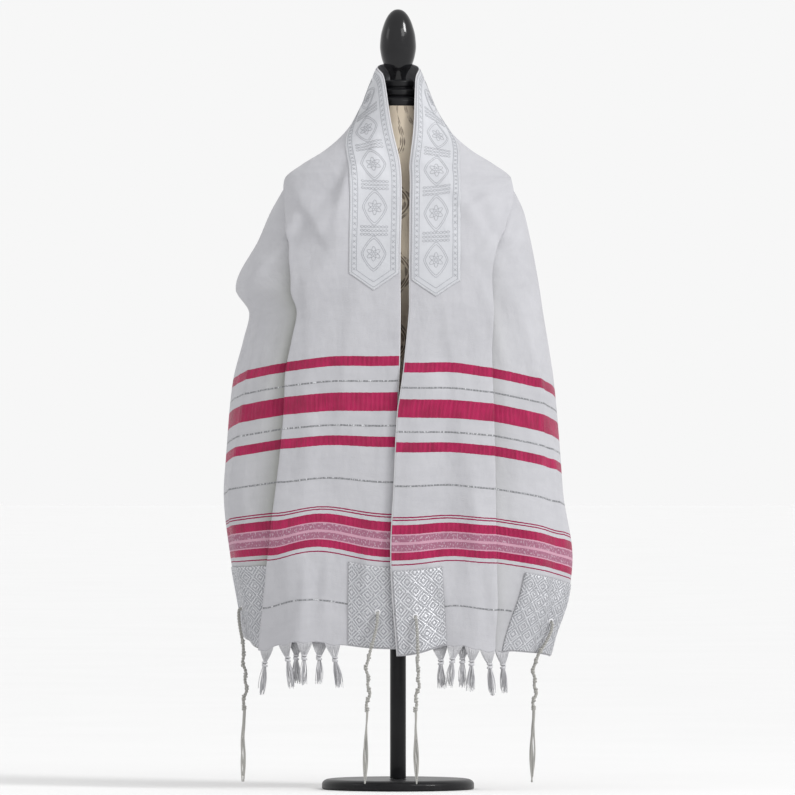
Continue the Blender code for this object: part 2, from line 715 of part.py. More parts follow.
def main():
    for old in list(bpy.data.objects):
        bpy.data.objects.remove(old, do_unlink=True)
    group = bpy.data.collections.new("tallit_on_dress_form")
    bpy.context.scene.collection.children.link(group)
    white = material("white_cloth", (0.86, 0.87, 0.89), 0.85)
    satin = material("silver_white_satin", (0.78, 0.82, 0.87), 0.45)
    yarn = material("white_yarn", (0.88, 0.88, 0.87), 0.9)
    printed = material("beige_form_cloth", (0.62, 0.54, 0.43), 0.8)
    black = material("black_lacquer", (0.012, 0.012, 0.014), 0.18)
    cloth = Cloth()
    build_cloth(cloth, white, group)
    build_neckband(cloth, satin, group)
    build_patches(cloth, satin, group)
    build_tassels(cloth, yarn, group)
    build_corner_cords(cloth, yarn, group)
    build_form(printed, black, group)


main()
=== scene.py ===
import bpy
import bmesh
import numpy as np
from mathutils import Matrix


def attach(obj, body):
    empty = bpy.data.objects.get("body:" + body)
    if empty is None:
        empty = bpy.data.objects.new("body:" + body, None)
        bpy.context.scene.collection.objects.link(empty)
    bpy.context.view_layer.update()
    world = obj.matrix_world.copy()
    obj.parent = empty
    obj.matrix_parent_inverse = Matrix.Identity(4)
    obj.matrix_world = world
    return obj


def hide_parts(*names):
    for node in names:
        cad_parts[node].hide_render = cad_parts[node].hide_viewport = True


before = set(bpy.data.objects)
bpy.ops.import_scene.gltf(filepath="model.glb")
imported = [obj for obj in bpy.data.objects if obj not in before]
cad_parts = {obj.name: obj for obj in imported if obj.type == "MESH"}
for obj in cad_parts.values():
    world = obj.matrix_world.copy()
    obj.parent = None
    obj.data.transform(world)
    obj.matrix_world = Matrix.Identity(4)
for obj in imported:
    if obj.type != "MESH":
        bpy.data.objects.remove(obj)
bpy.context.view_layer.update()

# A prayer shawl on a limbless dress form. Lengths are metres and the front faces -Y.
# Tables give millimetres; left and right are as seen from the front.
mm = 0.001
world = np.array([0.0, 0.0, 1.0])


def table(*rows):
    return np.array(rows, float)


def softStep(value, low, high):
    # Rises from 0 at low to 1 at high, level at both ends: 3t^2 - 2t^3.
    part = np.clip((value - low) / (high - low), 0, 1)
    return part * part * (3 - 2 * part)


def throughKnots(knots, values, at):
    # A cubic between knots whose slope at each knot is the harmonic mean of its two sides,
    # and 0 where they turn, so that no stretch overshoots.
    step = np.diff(knots)
    slope = np.diff(values) / step
    before, after = slope[:-1], slope[1:]
    turn = before * after <= 0
    first = 2 * step[1:] + step[:-1]
    second = step[1:] + 2 * step[:-1]
    mean = (first + second) / (first / np.where(turn, 1, before) + second / np.where(turn, 1, after))
    tangent = np.concatenate([slope[:1], np.where(turn, 0, mean), slope[-1:]])
    place = np.clip(np.searchsorted(knots, at, side="right") - 1, 0, len(step) - 1)
    part = (at - knots[place]) / step[place]
    return ((1 + 2 * part) * (1 - part) ** 2 * values[place]
            + part * (1 - part) ** 2 * step[place] * tangent[place]
            + part ** 2 * (3 - 2 * part) * values[place + 1]
            + part ** 2 * (part - 1) * step[place] * tangent[place + 1])


def unit(vectors):
    return vectors / np.maximum(np.linalg.norm(vectors, axis=-1, keepdims=True), 1e-12)


# The shape that the cloth hangs in: rings, from the lowest up
ringNames = ("height", "left", "right", "front", "back", "power")
rings = table(
    (150, 205, 200, 108, 92, 2.5),
    (209, 213, 214, 112, 94, 2.5),
    (268, 223, 233, 115, 95, 2.5),
    (320, 232, 239, 118, 96, 2.5),
    (408, 241, 227, 121, 96, 2.5),
    (454, 238, 224, 123, 96, 2.5),
    (560, 228, 215, 127, 96, 2.5),
    (620, 213, 206, 129, 96, 2.5),
    (656, 205, 200, 130, 96, 2.5),
    (690, 224, 195, 130, 95, 2.4),
    (760, 191, 182, 125, 92, 2.3),
    (808, 171, 170, 110, 87, 2.2),
    (844, 155, 155, 93, 79, 2.1),
    (863, 130, 130, 83, 73, 2.0),
    (881, 101, 101, 73, 66, 2.0),
    (905, 74, 74, 62, 58, 2.0),
    (932, 55, 55, 53, 52, 2.0),
    (975, 37, 37, 39, 38, 2.0),
    (1004, 25, 25, 27, 27, 2.0),
)
# Where the inner edge, the tuck and the outer edge of the cloth run, by distance from the hem
leftDrape = table(
    (0, -2, 195, 189, 193, 999, 209, 12),
    (139, -2, 326, 177, 328, 999, 322, 13),
    (231, -2, 424, 165, 424, 999, 406, 6),
    (337, -1, 534, 155, 528, 999, 504, 2),
    (394, -3, 589, 152, 581, 999, 556, 3),
    (505, -4, 700, 146, 692, 999, 654, 3),
    (545, -4, 740, 148, 732, 218, 688, 3),
    (660, -4, 855, 999, 844, 165, 640, 0),
    (740, 12, 935, 103, 846, 108, 596, 0),
    (800, 21, 986, 58, 842, 58, 566, 0),
)
rightDrape = table(
    (0, -2, 186, 131, 193, 999, 183, 11),
    (139, -11, 322, 133, 324, 999, 296, 4),
    (231, -6, 419, 132, 415, 999, 388, 3),
    (337, -1, 525, 130, 519, 999, 489, 1),
    (394, 7, 580, 128, 573, 999, 542, 3),
    (505, 15, 691, 128, 684, 999, 644, 3),
    (545, 15, 731, 128, 724, 190, 668, 3),
    (660, 16, 846, 999, 844, 150, 630, 0),
    (740, 22, 924, 103, 846, 105, 592, 0),
    (800, 25, 984, 58, 842, 58, 566, 0),
)
# Broad folds: bearing round the body, spread, depth, top and bottom
folds = table(
    (16, 9, -4, 600, 250), (34, 8, 4, 560, 250), (66, 9, 5, 640, 300), (80, 8, -4, 560, 300),
    (108, 10, -5, 800, 640), (126, 10, 6, 820, 640), (146, 10, -6, 800, 600),
    (166, 9, 6, 790, 580), (188, 9, -5, 800, 580), (208, 10, 6, 790, 600),
    (228, 10, -6, 810, 620), (247, 9, 4, 800, 640), (281, 8, 4, 560, 260),
    (296, 9, -5, 620, 260), (335, 9, 4, 540, 250), (347, 8, -3, 560, 250),
)
# Smaller creases, listed one by one: bearing, height, lean from upright, half length, half width,
# depth
creases = table(
    (28, 800, -24, 62, 13, 3.2), (42, 770, -30, 74, 13, -1.9), (55, 742, -22, 70, 12, 3.4),
    (22, 742, -12, 60, 12, 2.4), (14, 868, 34, 34, 10, 2.0), (330, 806, 26, 62, 12, 3.0),
    (318, 776, 32, 72, 13, -1.9), (306, 744, 20, 66, 12, 3.2), (344, 760, 10, 60, 11, -1.6),
    (62, 520, -4, 130, 8, 2.6), (53, 430, -3, 110, 8, -1.8), (44, 600, -6, 100, 10, 2.2),
    (26, 480, 2, 140, 10, 2.2), (9, 380, 0, 100, 8, -1.4), (300, 560, 5, 130, 9, 2.6),
    (312, 455, 4, 120, 8, -1.8), (322, 620, 8, 100, 10, 2.2), (338, 400, 2, 120, 9, 2.2),
    (288, 420, 3, 110, 7, 2.0), (74, 610, -6, 90, 8, -1.6), (8, 290, -8, 45, 6, 1.6),
    (30, 268, -10, 60, 7, 2.4), (42, 300, 6, 60, 7, -1.6), (350, 280, 6, 55, 7, 1.8),
    (334, 262, 10, 54, 7, -1.5), (316, 280, -4, 70, 7, 2.2), (301, 250, 6, 60, 7, 2.0),
    (118, 700, -14, 90, 9, 2.6), (137, 742, -10, 80, 10, -1.9), (155, 676, -4, 90, 9, 2.6),
    (178, 730, 0, 100, 10, 2.4), (198, 668, 4, 90, 9, -1.8), (218, 724, 10, 84, 10, 2.6),
    (237, 690, 14, 90, 9, 2.4), (150, 872, -30, 40, 10, 1.8), (212, 872, 30, 40, 10, 1.8),
    (128, 640, -12, 90, 11, 3.2), (146, 620, -6, 100, 11, 3.4), (168, 610, -2, 110, 12, 3.2),
    (188, 650, 2, 110, 12, 3.4), (209, 615, 6, 100, 11, 3.2), (228, 635, 12, 90, 11, 3.2),
)
# Longer swags: face (1 front, -1 back), start x and z, end x and z, width on the sharp side,
# which is on the right of the way from start to end, width on the soft side, depth
swags = table(
    (1, -60, 878, -90, 756, 6, 20, 5.5), (1, -148, 836, -92, 744, 6, 24, 5.0),
    (1, -128, 720, -118, 560, 7, 20, 2.6), (1, -60, 700, -84, 470, 9, 26, 2.4),
    (1, 76, 796, 126, 831, 5, 5, -2.0), (1, 136, 823, 80, 784, 7, 22, 5.5),
    (1, 154, 832, 150, 765, 6, 22, 5.0), (1, 154, 800, 134, 676, 6, 24, 5.5),
    (1, 141, 779, 104, 724, 6, 22, 5.0),
    (1, 62, 700, 90, 480, 9, 26, 2.4), (1, 180, 700, 196, 520, 8, 24, 2.6),
    (1, -176, 640, -206, 470, 8, 24, 2.8), (1, -210, 430, -200, 290, 7, 20, 2.4),
    (1, 178, 420, 186, 280, 7, 20, 2.4), (1, -96, 330, -104, 215, 7, 18, 2.6),
    (1, -40, 350, -50, 215, 7, 18, 2.2), (1, 62, 330, 72, 205, 7, 18, 2.4),
    (-1, -118, 800, -34, 650, 7, 24, 5.0), (-1, 34, 650, 122, 800, 24, 7, 5.0),
    (-1, -52, 720, -62, 580, 7, 22, 3.6), (-1, 66, 720, 54, 580, 22, 7, 3.6),
    (-1, 4, 700, -6, 570, 8, 22, 3.2), (-1, -140, 760, -150, 640, 8, 20, 3.2),
    (-1, 140, 760, 150, 640, 20, 8, 3.2), (-1, -40, 900, -84, 852, 5, 14, 2.6),
    (-1, 84, 852, 40, 900, 14, 5, 2.6),
)

shawl = {
    "length": 1740 * mm,
    "width": 520 * mm,
    "wall": 0.7 * mm,
    "layerStep": 3.4 * mm,
    "tuckMargin": 14 * mm,
    "tuckEase": 64 * mm,
    "tuckTurn": 660,
    "edgeTurn": 505,
    "innerTurn": 810,
    "edgeTurnPower": 0.8,
    "edgeTurnZone": (500 * mm, 600 * mm),
    "mostSlant": 0.3,
    "lapLift": 7 * mm,
    "lapFull": 365 * mm,
    "lapTop": 430 * mm,
    "lapWidth": 75 * mm,
    "rows": 321,
    "columns": {"front": 44, "bend": 5, "hidden": 12, "outer": 40},
    "hemDip": 3.2 * mm,
    "hemZone": 16 * mm,
    "dipWidth": 9 * mm,
    # The painted shade beside the tuck: how fast it fades, its strength by side, and the span from the
    # hem over which it fades out.
    "tuckShadeWidth": 20 * mm,
    "tuckShadeShares": (1.0, 0.3),              # on the left and the right
    "tuckShadeZone": (460 * mm, 600 * mm),
    "creaseGain": 1.7,                     # the same for every outward crease
}
# The fringe: which layer each tassel hangs from, its distance out, its lean and its length
tassels = {
    "left": table((0, 93, -0.9, 28), (0, 131, 0.1, 27), (0, 160, -1.1, 29), (0, 191, 0.9, 30),
                  (1, 112, 0.2, 26), (1, 146, -0.2, 26)),
    "right": table((0, 82, -0.9, 27), (0, 106, -0.3, 28), (0, 128, 0.8, 29),
                   (1, 62, 0.2, 26), (1, 94, -0.2, 26), (1, 152, 0.4, 26)),
}


def ringSize(name, height):
    return throughKnots(rings[:, 0] * mm, rings[:, ringNames.index(name)], height)


def outline(bearing, height):
    # A squared ring: the sine and cosine of the bearing, each raised to 2/power, times the
    # ring's half width or half depth on that side.
    angle = np.radians(bearing)
    power = 2 / ringSize("power", height)
    across = np.sign(np.sin(angle)) * np.abs(np.sin(angle)) ** power
    deep = np.sign(np.cos(angle)) * np.abs(np.cos(angle)) ** power
    halfWidth = np.where(across > 0, ringSize("left", height), ringSize("right", height)) * mm
    halfDepth = np.where(deep > 0, ringSize("front", height), ringSize("back", height)) * mm
    return np.stack([-halfWidth * across, -halfDepth * deep, height], axis=-1)


def outlineNormal(bearing, height):
    # The cross product of a small step round the ring and a small step up.
    turn, rise = 0.6, 2 * mm
    roundStep = outline(bearing + turn, height) - outline(bearing - turn, height)
    upStep = outline(bearing, height + rise) - outline(bearing, height - rise)
    return unit(np.cross(upStep, roundStep))


def bearingOf(out, height, side, behind):
    # The bearing whose ring point lies this far out: the arcsine of out over half width, unsquared.
    halfWidth = float(ringSize(side, height * mm))
    power = 2 / float(ringSize("power", height * mm))
    angle = np.degrees(np.arcsin(min(abs(out) / halfWidth, 1) ** (1 / power))) * np.sign(out)
    angle = 180 - angle if behind else angle
    return angle if side == "left" else 360 - angle


def drapeStations():
    # The two tables joined into one run from the left hem, round the back, to the right hem.
    rows = [(shawl["length"] / 2, 180, 1003, 180, 840, 180, 556, 0)]
    for side, rowsOfSide in (("left", leftDrape), ("right", rightDrape)):
        for along, innerOut, innerZ, tuckOut, tuckZ, edgeOut, edgeZ, lift in rowsOfSide:
            place = along * mm if side == "left" else shawl["length"] - along * mm
            rows.append((place, bearingOf(innerOut, innerZ, side, along > shawl["innerTurn"]), innerZ,
                         bearingOf(tuckOut, tuckZ, side, along > shawl["tuckTurn"]), tuckZ,
                         bearingOf(edgeOut, edgeZ, side, along > shawl["edgeTurn"]), edgeZ, lift))
    return np.array(sorted(rows))


def reliefAt(bearing, height):
    # Gaussian ridges: broad folds that fade upward, then short leaning creases.
    total = np.zeros_like(bearing)
    for middle, spread, depth, top, bottom in folds:
        near = np.exp(-((bearing - middle) / spread) ** 2)
        total += near * depth * mm * (1 - softStep(height, bottom * mm, top * mm))
    radius = 2.6 * mm                      # one degree round the body, about
    for middle, level, lean, half, wide, depth in creases:
        depth = depth * (shawl["creaseGain"] if depth > 0 else 1)
        away = (bearing - middle) * radius
        up = height - level * mm
        tilt = np.radians(lean)
        run = up * np.cos(tilt) + away * np.sin(tilt)
        off = away * np.cos(tilt) - up * np.sin(tilt)
        bow = off - 0.12 * run ** 2 / (half * mm)
        total += depth * mm * np.exp(-(run / (half * mm)) ** 2 - (bow / (wide * mm)) ** 2)
    # A swag is a ridge over a straight line, steep on one side and soft on the other.
    across = outline(bearing, height)[..., 0]
    facing = np.cos(np.radians(bearing))
    for face, x1, z1, x2, z2, sharp, soft, depth in swags:
        reach = np.hypot(x2 - x1, z2 - z1)
        goX, goZ = (x2 - x1) / reach, (z2 - z1) / reach
        fromX, fromZ = across / mm - x1, height / mm - z1
        run = np.clip((fromX * goX + fromZ * goZ) / reach, -0.5, 1.5)
        off = goX * fromZ - goZ * fromX
        taper = softStep(run, -0.12, 0.3) * (1 - softStep(run, 0.7, 1.15))
        near = np.exp(-(off / np.where(off < 0, sharp, soft)) ** 2)
        total += depth * mm * near * taper * softStep(facing * face, 0.02, 0.3)
    return total


class Drape:
    # The cloth as a function of distance along it, distance out along its rib, and depth.

    def __init__(self, rowCount=871, samples=220):
        stations = drapeStations()
        self.rows = np.linspace(0, shawl["length"], rowCount)
        part = np.linspace(0, 1, samples)[None]
        inner, innerZ, tuck, tuckZ, edge, edgeZ, lift = [
            throughKnots(stations[:, 0], stations[:, column], self.rows)[:, None]
            for column in range(1, 8)]
        fromHem = np.minimum(self.rows, shawl["length"] - self.rows)[:, None]
        turn = 1 + shawl["edgeTurnPower"] * softStep(fromHem, *shawl["edgeTurnZone"])
        past = np.clip(part * 2 - 1, 0, 1)
        hump = np.sin(np.pi * np.clip(part * 2, 0, 1)) ** 2
        bearing = self.half(part, inner, tuck, edge)
        height = self.half(part, innerZ, tuckZ, edgeZ)
        bearing = np.where(part <= 0.5, bearing, tuck + (edge - tuck) * (1 - (1 - past) ** turn))
        height = np.where(part <= 0.5, height, tuckZ + (edgeZ - tuckZ) * past ** turn)
        height = (height + lift * hump) * mm
        steps = np.linalg.norm(np.diff(outline(bearing, height), axis=1), axis=-1)
        reach = np.concatenate([np.zeros((rowCount, 1)), np.cumsum(steps, axis=1)], axis=1)
        self.full = reach[:, -1]
        self.tuck = np.array([np.interp(0.5, part[0], row) for row in reach])
        spare = (shawl["width"] - self.full) / 2
        self.overlap = np.clip(spare, shawl["tuckMargin"], self.tuck - shawl["tuckMargin"])
        self.tuckLine = outline(tuck[:, 0], tuckZ[:, 0] * mm)
        self.outs = np.arange(0, self.full.max() + 2 * mm, 2 * mm)
        self.bearing = np.array([np.interp(self.outs, r, b) for r, b in zip(reach, bearing)])
        self.height = np.array([np.interp(self.outs, r, h) for r, h in zip(reach, height)])

    @staticmethod
    def half(part, start, middle, end):
        # The first half of a three-knot cubic, whose middle slope is the harmonic mean.
        first, second = middle - start, end - middle
        turn = first * second <= 0
        mean = 2 / (1 / np.where(turn, 1, first) + 1 / np.where(turn, 1, second))
        mean = np.where(turn, 0, mean)
        at = np.clip(part * 2, 0, 1)
        return ((1 + 2 * at) * (1 - at) ** 2 * start + at * (1 - at) ** 2 * first
                + at ** 2 * (3 - 2 * at) * middle + at ** 2 * (at - 1) * mean)

    def alongRows(self, values, along):
        return np.interp(along, self.rows, values)

    def at(self, along, out):
        # Bearing and height between the four nearest entries of the tables.
        row = np.clip(along / self.rows[1], 0, len(self.rows) - 1.001)
        column = np.clip(out / self.outs[1], 0, len(self.outs) - 1.001)
        r, c = row.astype(int), column.astype(int)
        dr, dc = row - r, column - c
        found = []
        for grid in (self.bearing, self.height):
            found.append((grid[r, c] * (1 - dc) + grid[r, c + 1] * dc) * (1 - dr)
                         + (grid[r + 1, c] * (1 - dc) + grid[r + 1, c + 1] * dc) * dr)
        return found

    def place(self, along, out, depth=0.0, outer=False):
        # The outline's point, moved along its normal by depth, relief and the front lap, and
        # the hem's dip at each tassel.
        along, out = np.broadcast_arrays(np.asarray(along, float), np.asarray(out, float))
        bearing, height = self.at(along, out)
        fromEnd = shawl["length"] - along
        low = 1 - softStep(fromEnd, shawl["lapFull"], shawl["lapTop"])
        lap = shawl["lapLift"] * low * (1 - softStep(out, shawl["lapWidth"] * 0.35, shawl["lapWidth"]))
        raised = depth + reliefAt(bearing, height) + lap
        points = outline(bearing, height) + outlineNormal(bearing, height) * raised[..., None]
        layer = np.broadcast_to(np.asarray(outer, float), out.shape)
        for side, fromHem in (("left", along), ("right", fromEnd)):
            for hangs, place, lean, drop in tassels[side]:
                near = np.exp(-((out - place * mm) / shawl["dipWidth"]) ** 2)
                near = near * (np.abs(layer - hangs) < 0.5)
                points[..., 2] -= shawl["hemDip"] * near * (1 - softStep(fromHem, 0, shawl["hemZone"]))
        return points

    def under(self, along, out):
        # The outer layer lies two steps under the tuck and eases out past it.
        tuck = self.alongRows(self.tuck, along)
        eased = softStep(out, tuck + shawl["tuckEase"] / 8, tuck + shawl["tuckEase"])
        return -2 * shawl["layerStep"] * (1 - eased)

    def surface(self, along, out, lift=0.0, outer=False):
        # A point and normal on the front or outer layer: the normal is the cross product of
        # small steps along and across.
        step = 1.5 * mm
        along, out = np.broadcast_arrays(np.asarray(along, float), np.asarray(out, float))
        hem = np.clip(along, step, shawl["length"] - step)

        def spot(a, o):
            depth = self.under(a, o) if outer else 0.0
            return self.place(a, o, depth, outer)
        normal = unit(np.cross(spot(hem + step, out) - spot(hem - step, out),
                               spot(hem, out + step) - spot(hem, out - step)))
        return spot(along, out) + normal * lift, normal


drape = Drape()
print("drape worked out: rib widths", drape.full.min().round(3), "to", drape.full.max().round(3))


def newMesh(name, points, quads, uv, look):
    # Points, quads and corner UVs go in as whole arrays.
    mesh = bpy.data.meshes.new(name)
    mesh.vertices.add(len(points))
    mesh.vertices.foreach_set("co", np.ascontiguousarray(points, dtype=np.float32).ravel())
    mesh.loops.add(quads.size)
    mesh.loops.foreach_set("vertex_index", quads.ravel().astype(np.int32))
    mesh.polygons.add(len(quads))
    mesh.polygons.foreach_set("loop_start", np.arange(0, quads.size, 4, dtype=np.int32))
    mesh.update(calc_edges=True)
    layer = mesh.uv_layers.new(name="flat")
    layer.data.foreach_set("uv", uv.astype(np.float32).ravel())
    mesh.materials.append(look)
    mesh.shade_smooth()
    made = bpy.data.objects.new(name, mesh)
    bpy.context.scene.collection.objects.link(made)
    return made


def turnOutward(made, fill=False):
    # Fills each open rim where asked, then makes every closed part face outward.
    work = bmesh.new()
    work.from_mesh(made.data)
    if fill:
        rims = [edge for edge in work.edges if edge.is_boundary]
        bmesh.ops.holes_fill(work, edges=rims, sides=0)
    bmesh.ops.recalc_face_normals(work, faces=work.faces)
    work.to_mesh(made.data)
    work.free()
    return made


def cellCorners(grid, axis=-1):
    # The four corners of every cell of a grid, in order round the cell.
    return np.stack([grid[:-1, :-1], grid[:-1, 1:], grid[1:, 1:], grid[1:, :-1]], axis)


def gridQuads(rows, columns):
    return cellCorners(np.arange(rows * columns).reshape(rows, columns)).reshape(-1, 4)


def roundPiece(name, grid, girth, rise, look):
    # Rings of points one above the other, joined round and closed at both ends. The UVs run
    # round the piece to girth and up it by rise.
    levels, sides = grid.shape[:2]
    index = np.arange(levels * sides).reshape(levels, sides)
    quads = cellCorners(np.concatenate([index, index[:, :1]], axis=1)).reshape(-1, 4)
    uv = np.stack(np.broadcast_arrays(np.linspace(0, girth, sides + 1)[None], rise[:, None]), -1)
    made = newMesh(name, grid.reshape(-1, 3), quads, cellCorners(uv, -2).reshape(-1, 2), look)
    turnOutward(made, fill=True)
    made.data.set_sharp_from_angle(angle=np.radians(40))
    return made


def sheetPiece(name, points, uv, wall, look):
    # A grid of points with its flat sizes as UVs, given its wall by Solidify.
    rows, columns = points.shape[:2]
    quads = gridQuads(rows, columns)
    made = newMesh(name, points.reshape(-1, 3), quads, uv.reshape(-1, 2)[quads.ravel()], look)
    wallMaker = made.modifiers.new("wall", "SOLIDIFY")
    wallMaker.thickness = wall
    wallMaker.offset = 0
    wallMaker.use_even_offset = False
    return made


capQuads = {4: ((0, 1, 2, 3),), 6: ((0, 1, 2, 3), (3, 4, 5, 0))}   # a tube's end, by its sides


def tubeBundle(name, paths, radii, look, sides=4, reference=world, flat=1.0):
    # Many tubes at once: round each path's point stands a ring in the plane of two unit
    # vectors square to the path, and flat squashes it toward the reference.
    paths = np.asarray(paths, float)
    count, steps = paths.shape[:2]
    tangent = unit(np.gradient(paths, axis=1))
    side = unit(np.cross(tangent, np.broadcast_to(reference, paths.shape)))
    rise = np.cross(side, tangent)
    angle = np.linspace(0, 2 * np.pi, sides, endpoint=False) + np.pi / sides
    radii = np.broadcast_to(radii, (count, steps))[..., None, None]
    ring = (side[:, :, None] * np.cos(angle)[:, None]
            + rise[:, :, None] * np.sin(angle)[:, None] * flat) * radii
    points = paths[:, :, None] + ring
    index = np.arange(count * steps * sides).reshape(count, steps, sides)
    around = np.concatenate([index, index[:, :, :1]], axis=2)
    quads = np.stack([around[:, :-1, :-1], around[:, :-1, 1:],
                      around[:, 1:, 1:], around[:, 1:, :-1]], -1)
    reach = np.cumsum(np.linalg.norm(np.diff(paths, axis=1), axis=-1), axis=1)
    length = np.concatenate([np.zeros((count, 1)), reach], axis=1)
    lane = np.arange(count)[:, None, None] * 0.37 + np.linspace(0, 1, sides + 1)
    flatUv = np.stack([np.broadcast_to(lane, (count, steps, sides + 1)),
                       np.broadcast_to(length[:, :, None], (count, steps, sides + 1))], -1)
    corners = np.stack([flatUv[:, :-1, :-1], flatUv[:, :-1, 1:],
                        flatUv[:, 1:, 1:], flatUv[:, 1:, :-1]], -2)
    caps = np.array(capQuads[sides])
    ends = np.concatenate([index[:, 0][:, caps], index[:, -1][:, caps[:, ::-1]]], axis=1)
    ends = ends.reshape(-1, 4)
    allQuads = np.concatenate([quads.reshape(-1, 4), ends])
    allUv = np.concatenate([corners.reshape(-1, 2), np.zeros((ends.size, 2))])
    return turnOutward(newMesh(name, points.reshape(-1, 3), allQuads, allUv, look))


class Shade:
    # A socket in a material. Arithmetic on it adds Math nodes; node adds any other.

    def __init__(self, tree, socket=None):
        self.tree = tree
        self.socket = socket

    def node(self, kind, settings=None, sockets=None, output=0):
        made = self.tree.nodes.new("ShaderNode" + kind)
        for name, value in (settings or {}).items():
            if name == "stops":
                made.color_ramp.interpolation = value[0]
                for spare in list(made.color_ramp.elements)[1:]:
                    made.color_ramp.elements.remove(spare)
                made.color_ramp.elements[0].position = value[1][0]
                made.color_ramp.elements[0].color = (*value[1][1], 1)
                for position, colour in value[2:]:
                    made.color_ramp.elements.new(position).color = (*colour, 1)
            else:
                setattr(made, name, value)
        for name, value in (sockets or {}).items():
            if isinstance(value, Shade):
                self.tree.links.new(value.socket, made.inputs[name])
            else:
                made.inputs[name].default_value = value
        return Shade(self.tree, made.outputs[output])

    def maths(self, operation, *others):
        return self.node("Math", {"operation": operation}, dict(enumerate((self, *others))))

    def __add__(self, other):
        return self.maths("ADD", other)

    def __sub__(self, other):
        return self.maths("SUBTRACT", other)

    def __mul__(self, other):
        return self.maths("MULTIPLY", other)

    def __truediv__(self, other):
        return self.maths("DIVIDE", other)

    def __rsub__(self, other):
        return self.node("Math", {"operation": "SUBTRACT"}, {0: other, 1: self})

    __radd__ = __add__
    __rmul__ = __mul__

    def wave(self, pitch, phase=0.0):
        # 0 to 1 and back over each pitch.
        return (self * (2 * np.pi / pitch) + phase).maths("SINE") * 0.5 + 0.5

    def step(self, low, high):
        # Rises from 0 at low to 1 at high.
        return self.node("MapRange", {"interpolation_type": "SMOOTHSTEP"},
                         {"Value": self, "From Min": low, "From Max": high})

    def within(self, low, high, soft):
        return self.step(low - soft, low + soft) * (1 - self.step(high - soft, high + soft))

    def mix(self, first, second):
        # Colour first where this is 0, second where it is 1.
        made = self.tree.nodes.new("ShaderNodeMix")
        made.data_type = "RGBA"
        for slot, value in ((0, self), (6, first), (7, second)):
            if isinstance(value, Shade):
                self.tree.links.new(value.socket, made.inputs[slot])
            else:
                made.inputs[slot].default_value = (*value, 1)
        return Shade(self.tree, made.outputs[2])

    def noise(self, scale, detail=3.0, roughness=0.55, stretch=None):
        at = self if stretch is None else self.node("Mapping", {}, {"Vector": self, "Scale": stretch})
        return self.node("TexNoise", {}, {"Vector": at, "Scale": scale, "Detail": detail,
                                          "Roughness": roughness})

    def split(self):
        parts = self.tree.nodes.new("ShaderNodeSeparateXYZ")
        self.tree.links.new(self.socket, parts.inputs[0])
        return [Shade(self.tree, output) for output in parts.outputs]


class Finish:
    # A Principled material: fixed values go straight on its sockets, the rest are linked.

    def __init__(self, name, **fixed):
        self.material = bpy.data.materials.new(name)
        self.material.use_nodes = True
        self.tree = self.material.node_tree
        self.shader = self.tree.nodes["Principled BSDF"]
        for key, value in fixed.items():
            self.shader.inputs[key.replace("_", " ")].default_value = value
        self.start = Shade(self.tree)

    def flat(self):
        return self.start.node("TexCoord", output=2)

    def solid(self):
        return self.start.node("TexCoord", output=3)

    def link(self, socket, value):
        self.tree.links.new(value.socket, self.shader.inputs[socket])

    def bump(self, height, distance):
        self.link("Normal", self.start.node("Bump", {}, {"Height": height, "Distance": distance,
                                                         "Strength": 1.0}))


colours = {
    "cloth": (0.48, 0.48, 0.505),
    "clothShade": (0.42, 0.42, 0.445),
    # painted shade beside the tuck
    "underTuck": (0.27, 0.28, 0.235),
    "selvedge": (0.62, 0.62, 0.64),
    "pink": (0.41, 0.006, 0.080),
    "pinkShade": (0.25, 0.003, 0.045),
    "line": (0.24, 0.006, 0.055),
    "pale": (0.30, 0.115, 0.18),
    "paleFleck": (0.46, 0.32, 0.38),
    "paleEdge": (0.50, 0.28, 0.36),
    "silver": (0.20, 0.205, 0.215),
    "paintedGlint": (0.62, 0.63, 0.65),
    "band": (0.60, 0.61, 0.64),
    "bandShade": (0.53, 0.54, 0.57),
    "thread": (0.35, 0.36, 0.39),
    "patch": (0.56, 0.565, 0.59),
    "patchShade": (0.29, 0.295, 0.32),
    "patchThread": (0.62, 0.63, 0.66),
    "yarn": (0.54, 0.54, 0.56),
    "cord": (0.37, 0.365, 0.345),
    "linen": (0.68, 0.60, 0.48),
    "linenDark": (0.55, 0.47, 0.37),
    "print": (0.10, 0.075, 0.06),
    "black": (0.006, 0.006, 0.007),
    "blackSmear": (0.012, 0.012, 0.013),
    "sewing": (0.80, 0.80, 0.82),
    "floor": (0.79, 0.79, 0.79),
    "floorShade": (0.775, 0.775, 0.775),
}
# Cross stripes, from the hem up in millimetres: low, high, kind
stripes = (
    (122.4, 123.6, "line"), (126.4, 127.6, "line"), (133, 144, "pink"), (144, 145.4, "edge"),
    (145.4, 153.8, "pale"), (153.8, 154.9, "edge"), (154.9, 156.3, "line"), (156.3, 157.4, "edge"),
    (157.4, 166.1, "pale"), (166.1, 167.5, "edge"), (167.5, 179, "pink"), (185.0, 186.2, "line"),
    (188.8, 190.0, "line"), (275.5, 290, "pink"), (324, 350, "pink"), (387, 401.5, "pink"),
)
silverLines = (60, 231, 305, 367)
silverHalf = 1.1                           # half a metal line's height
stripeSpan = 440 * mm                      # the stripes' ramp covers this much from the hem


def stripeStops(wanted):
    # A stepped ramp that is white on one kind of stripe and black elsewhere.
    stops = [(0.0, (0, 0, 0))]
    for low, high, kind in stripes:
        if kind == wanted:
            stops += [(low * mm / stripeSpan, (1, 1, 1)), (high * mm / stripeSpan, (0, 0, 0))]
    return ("CONSTANT", *stops)


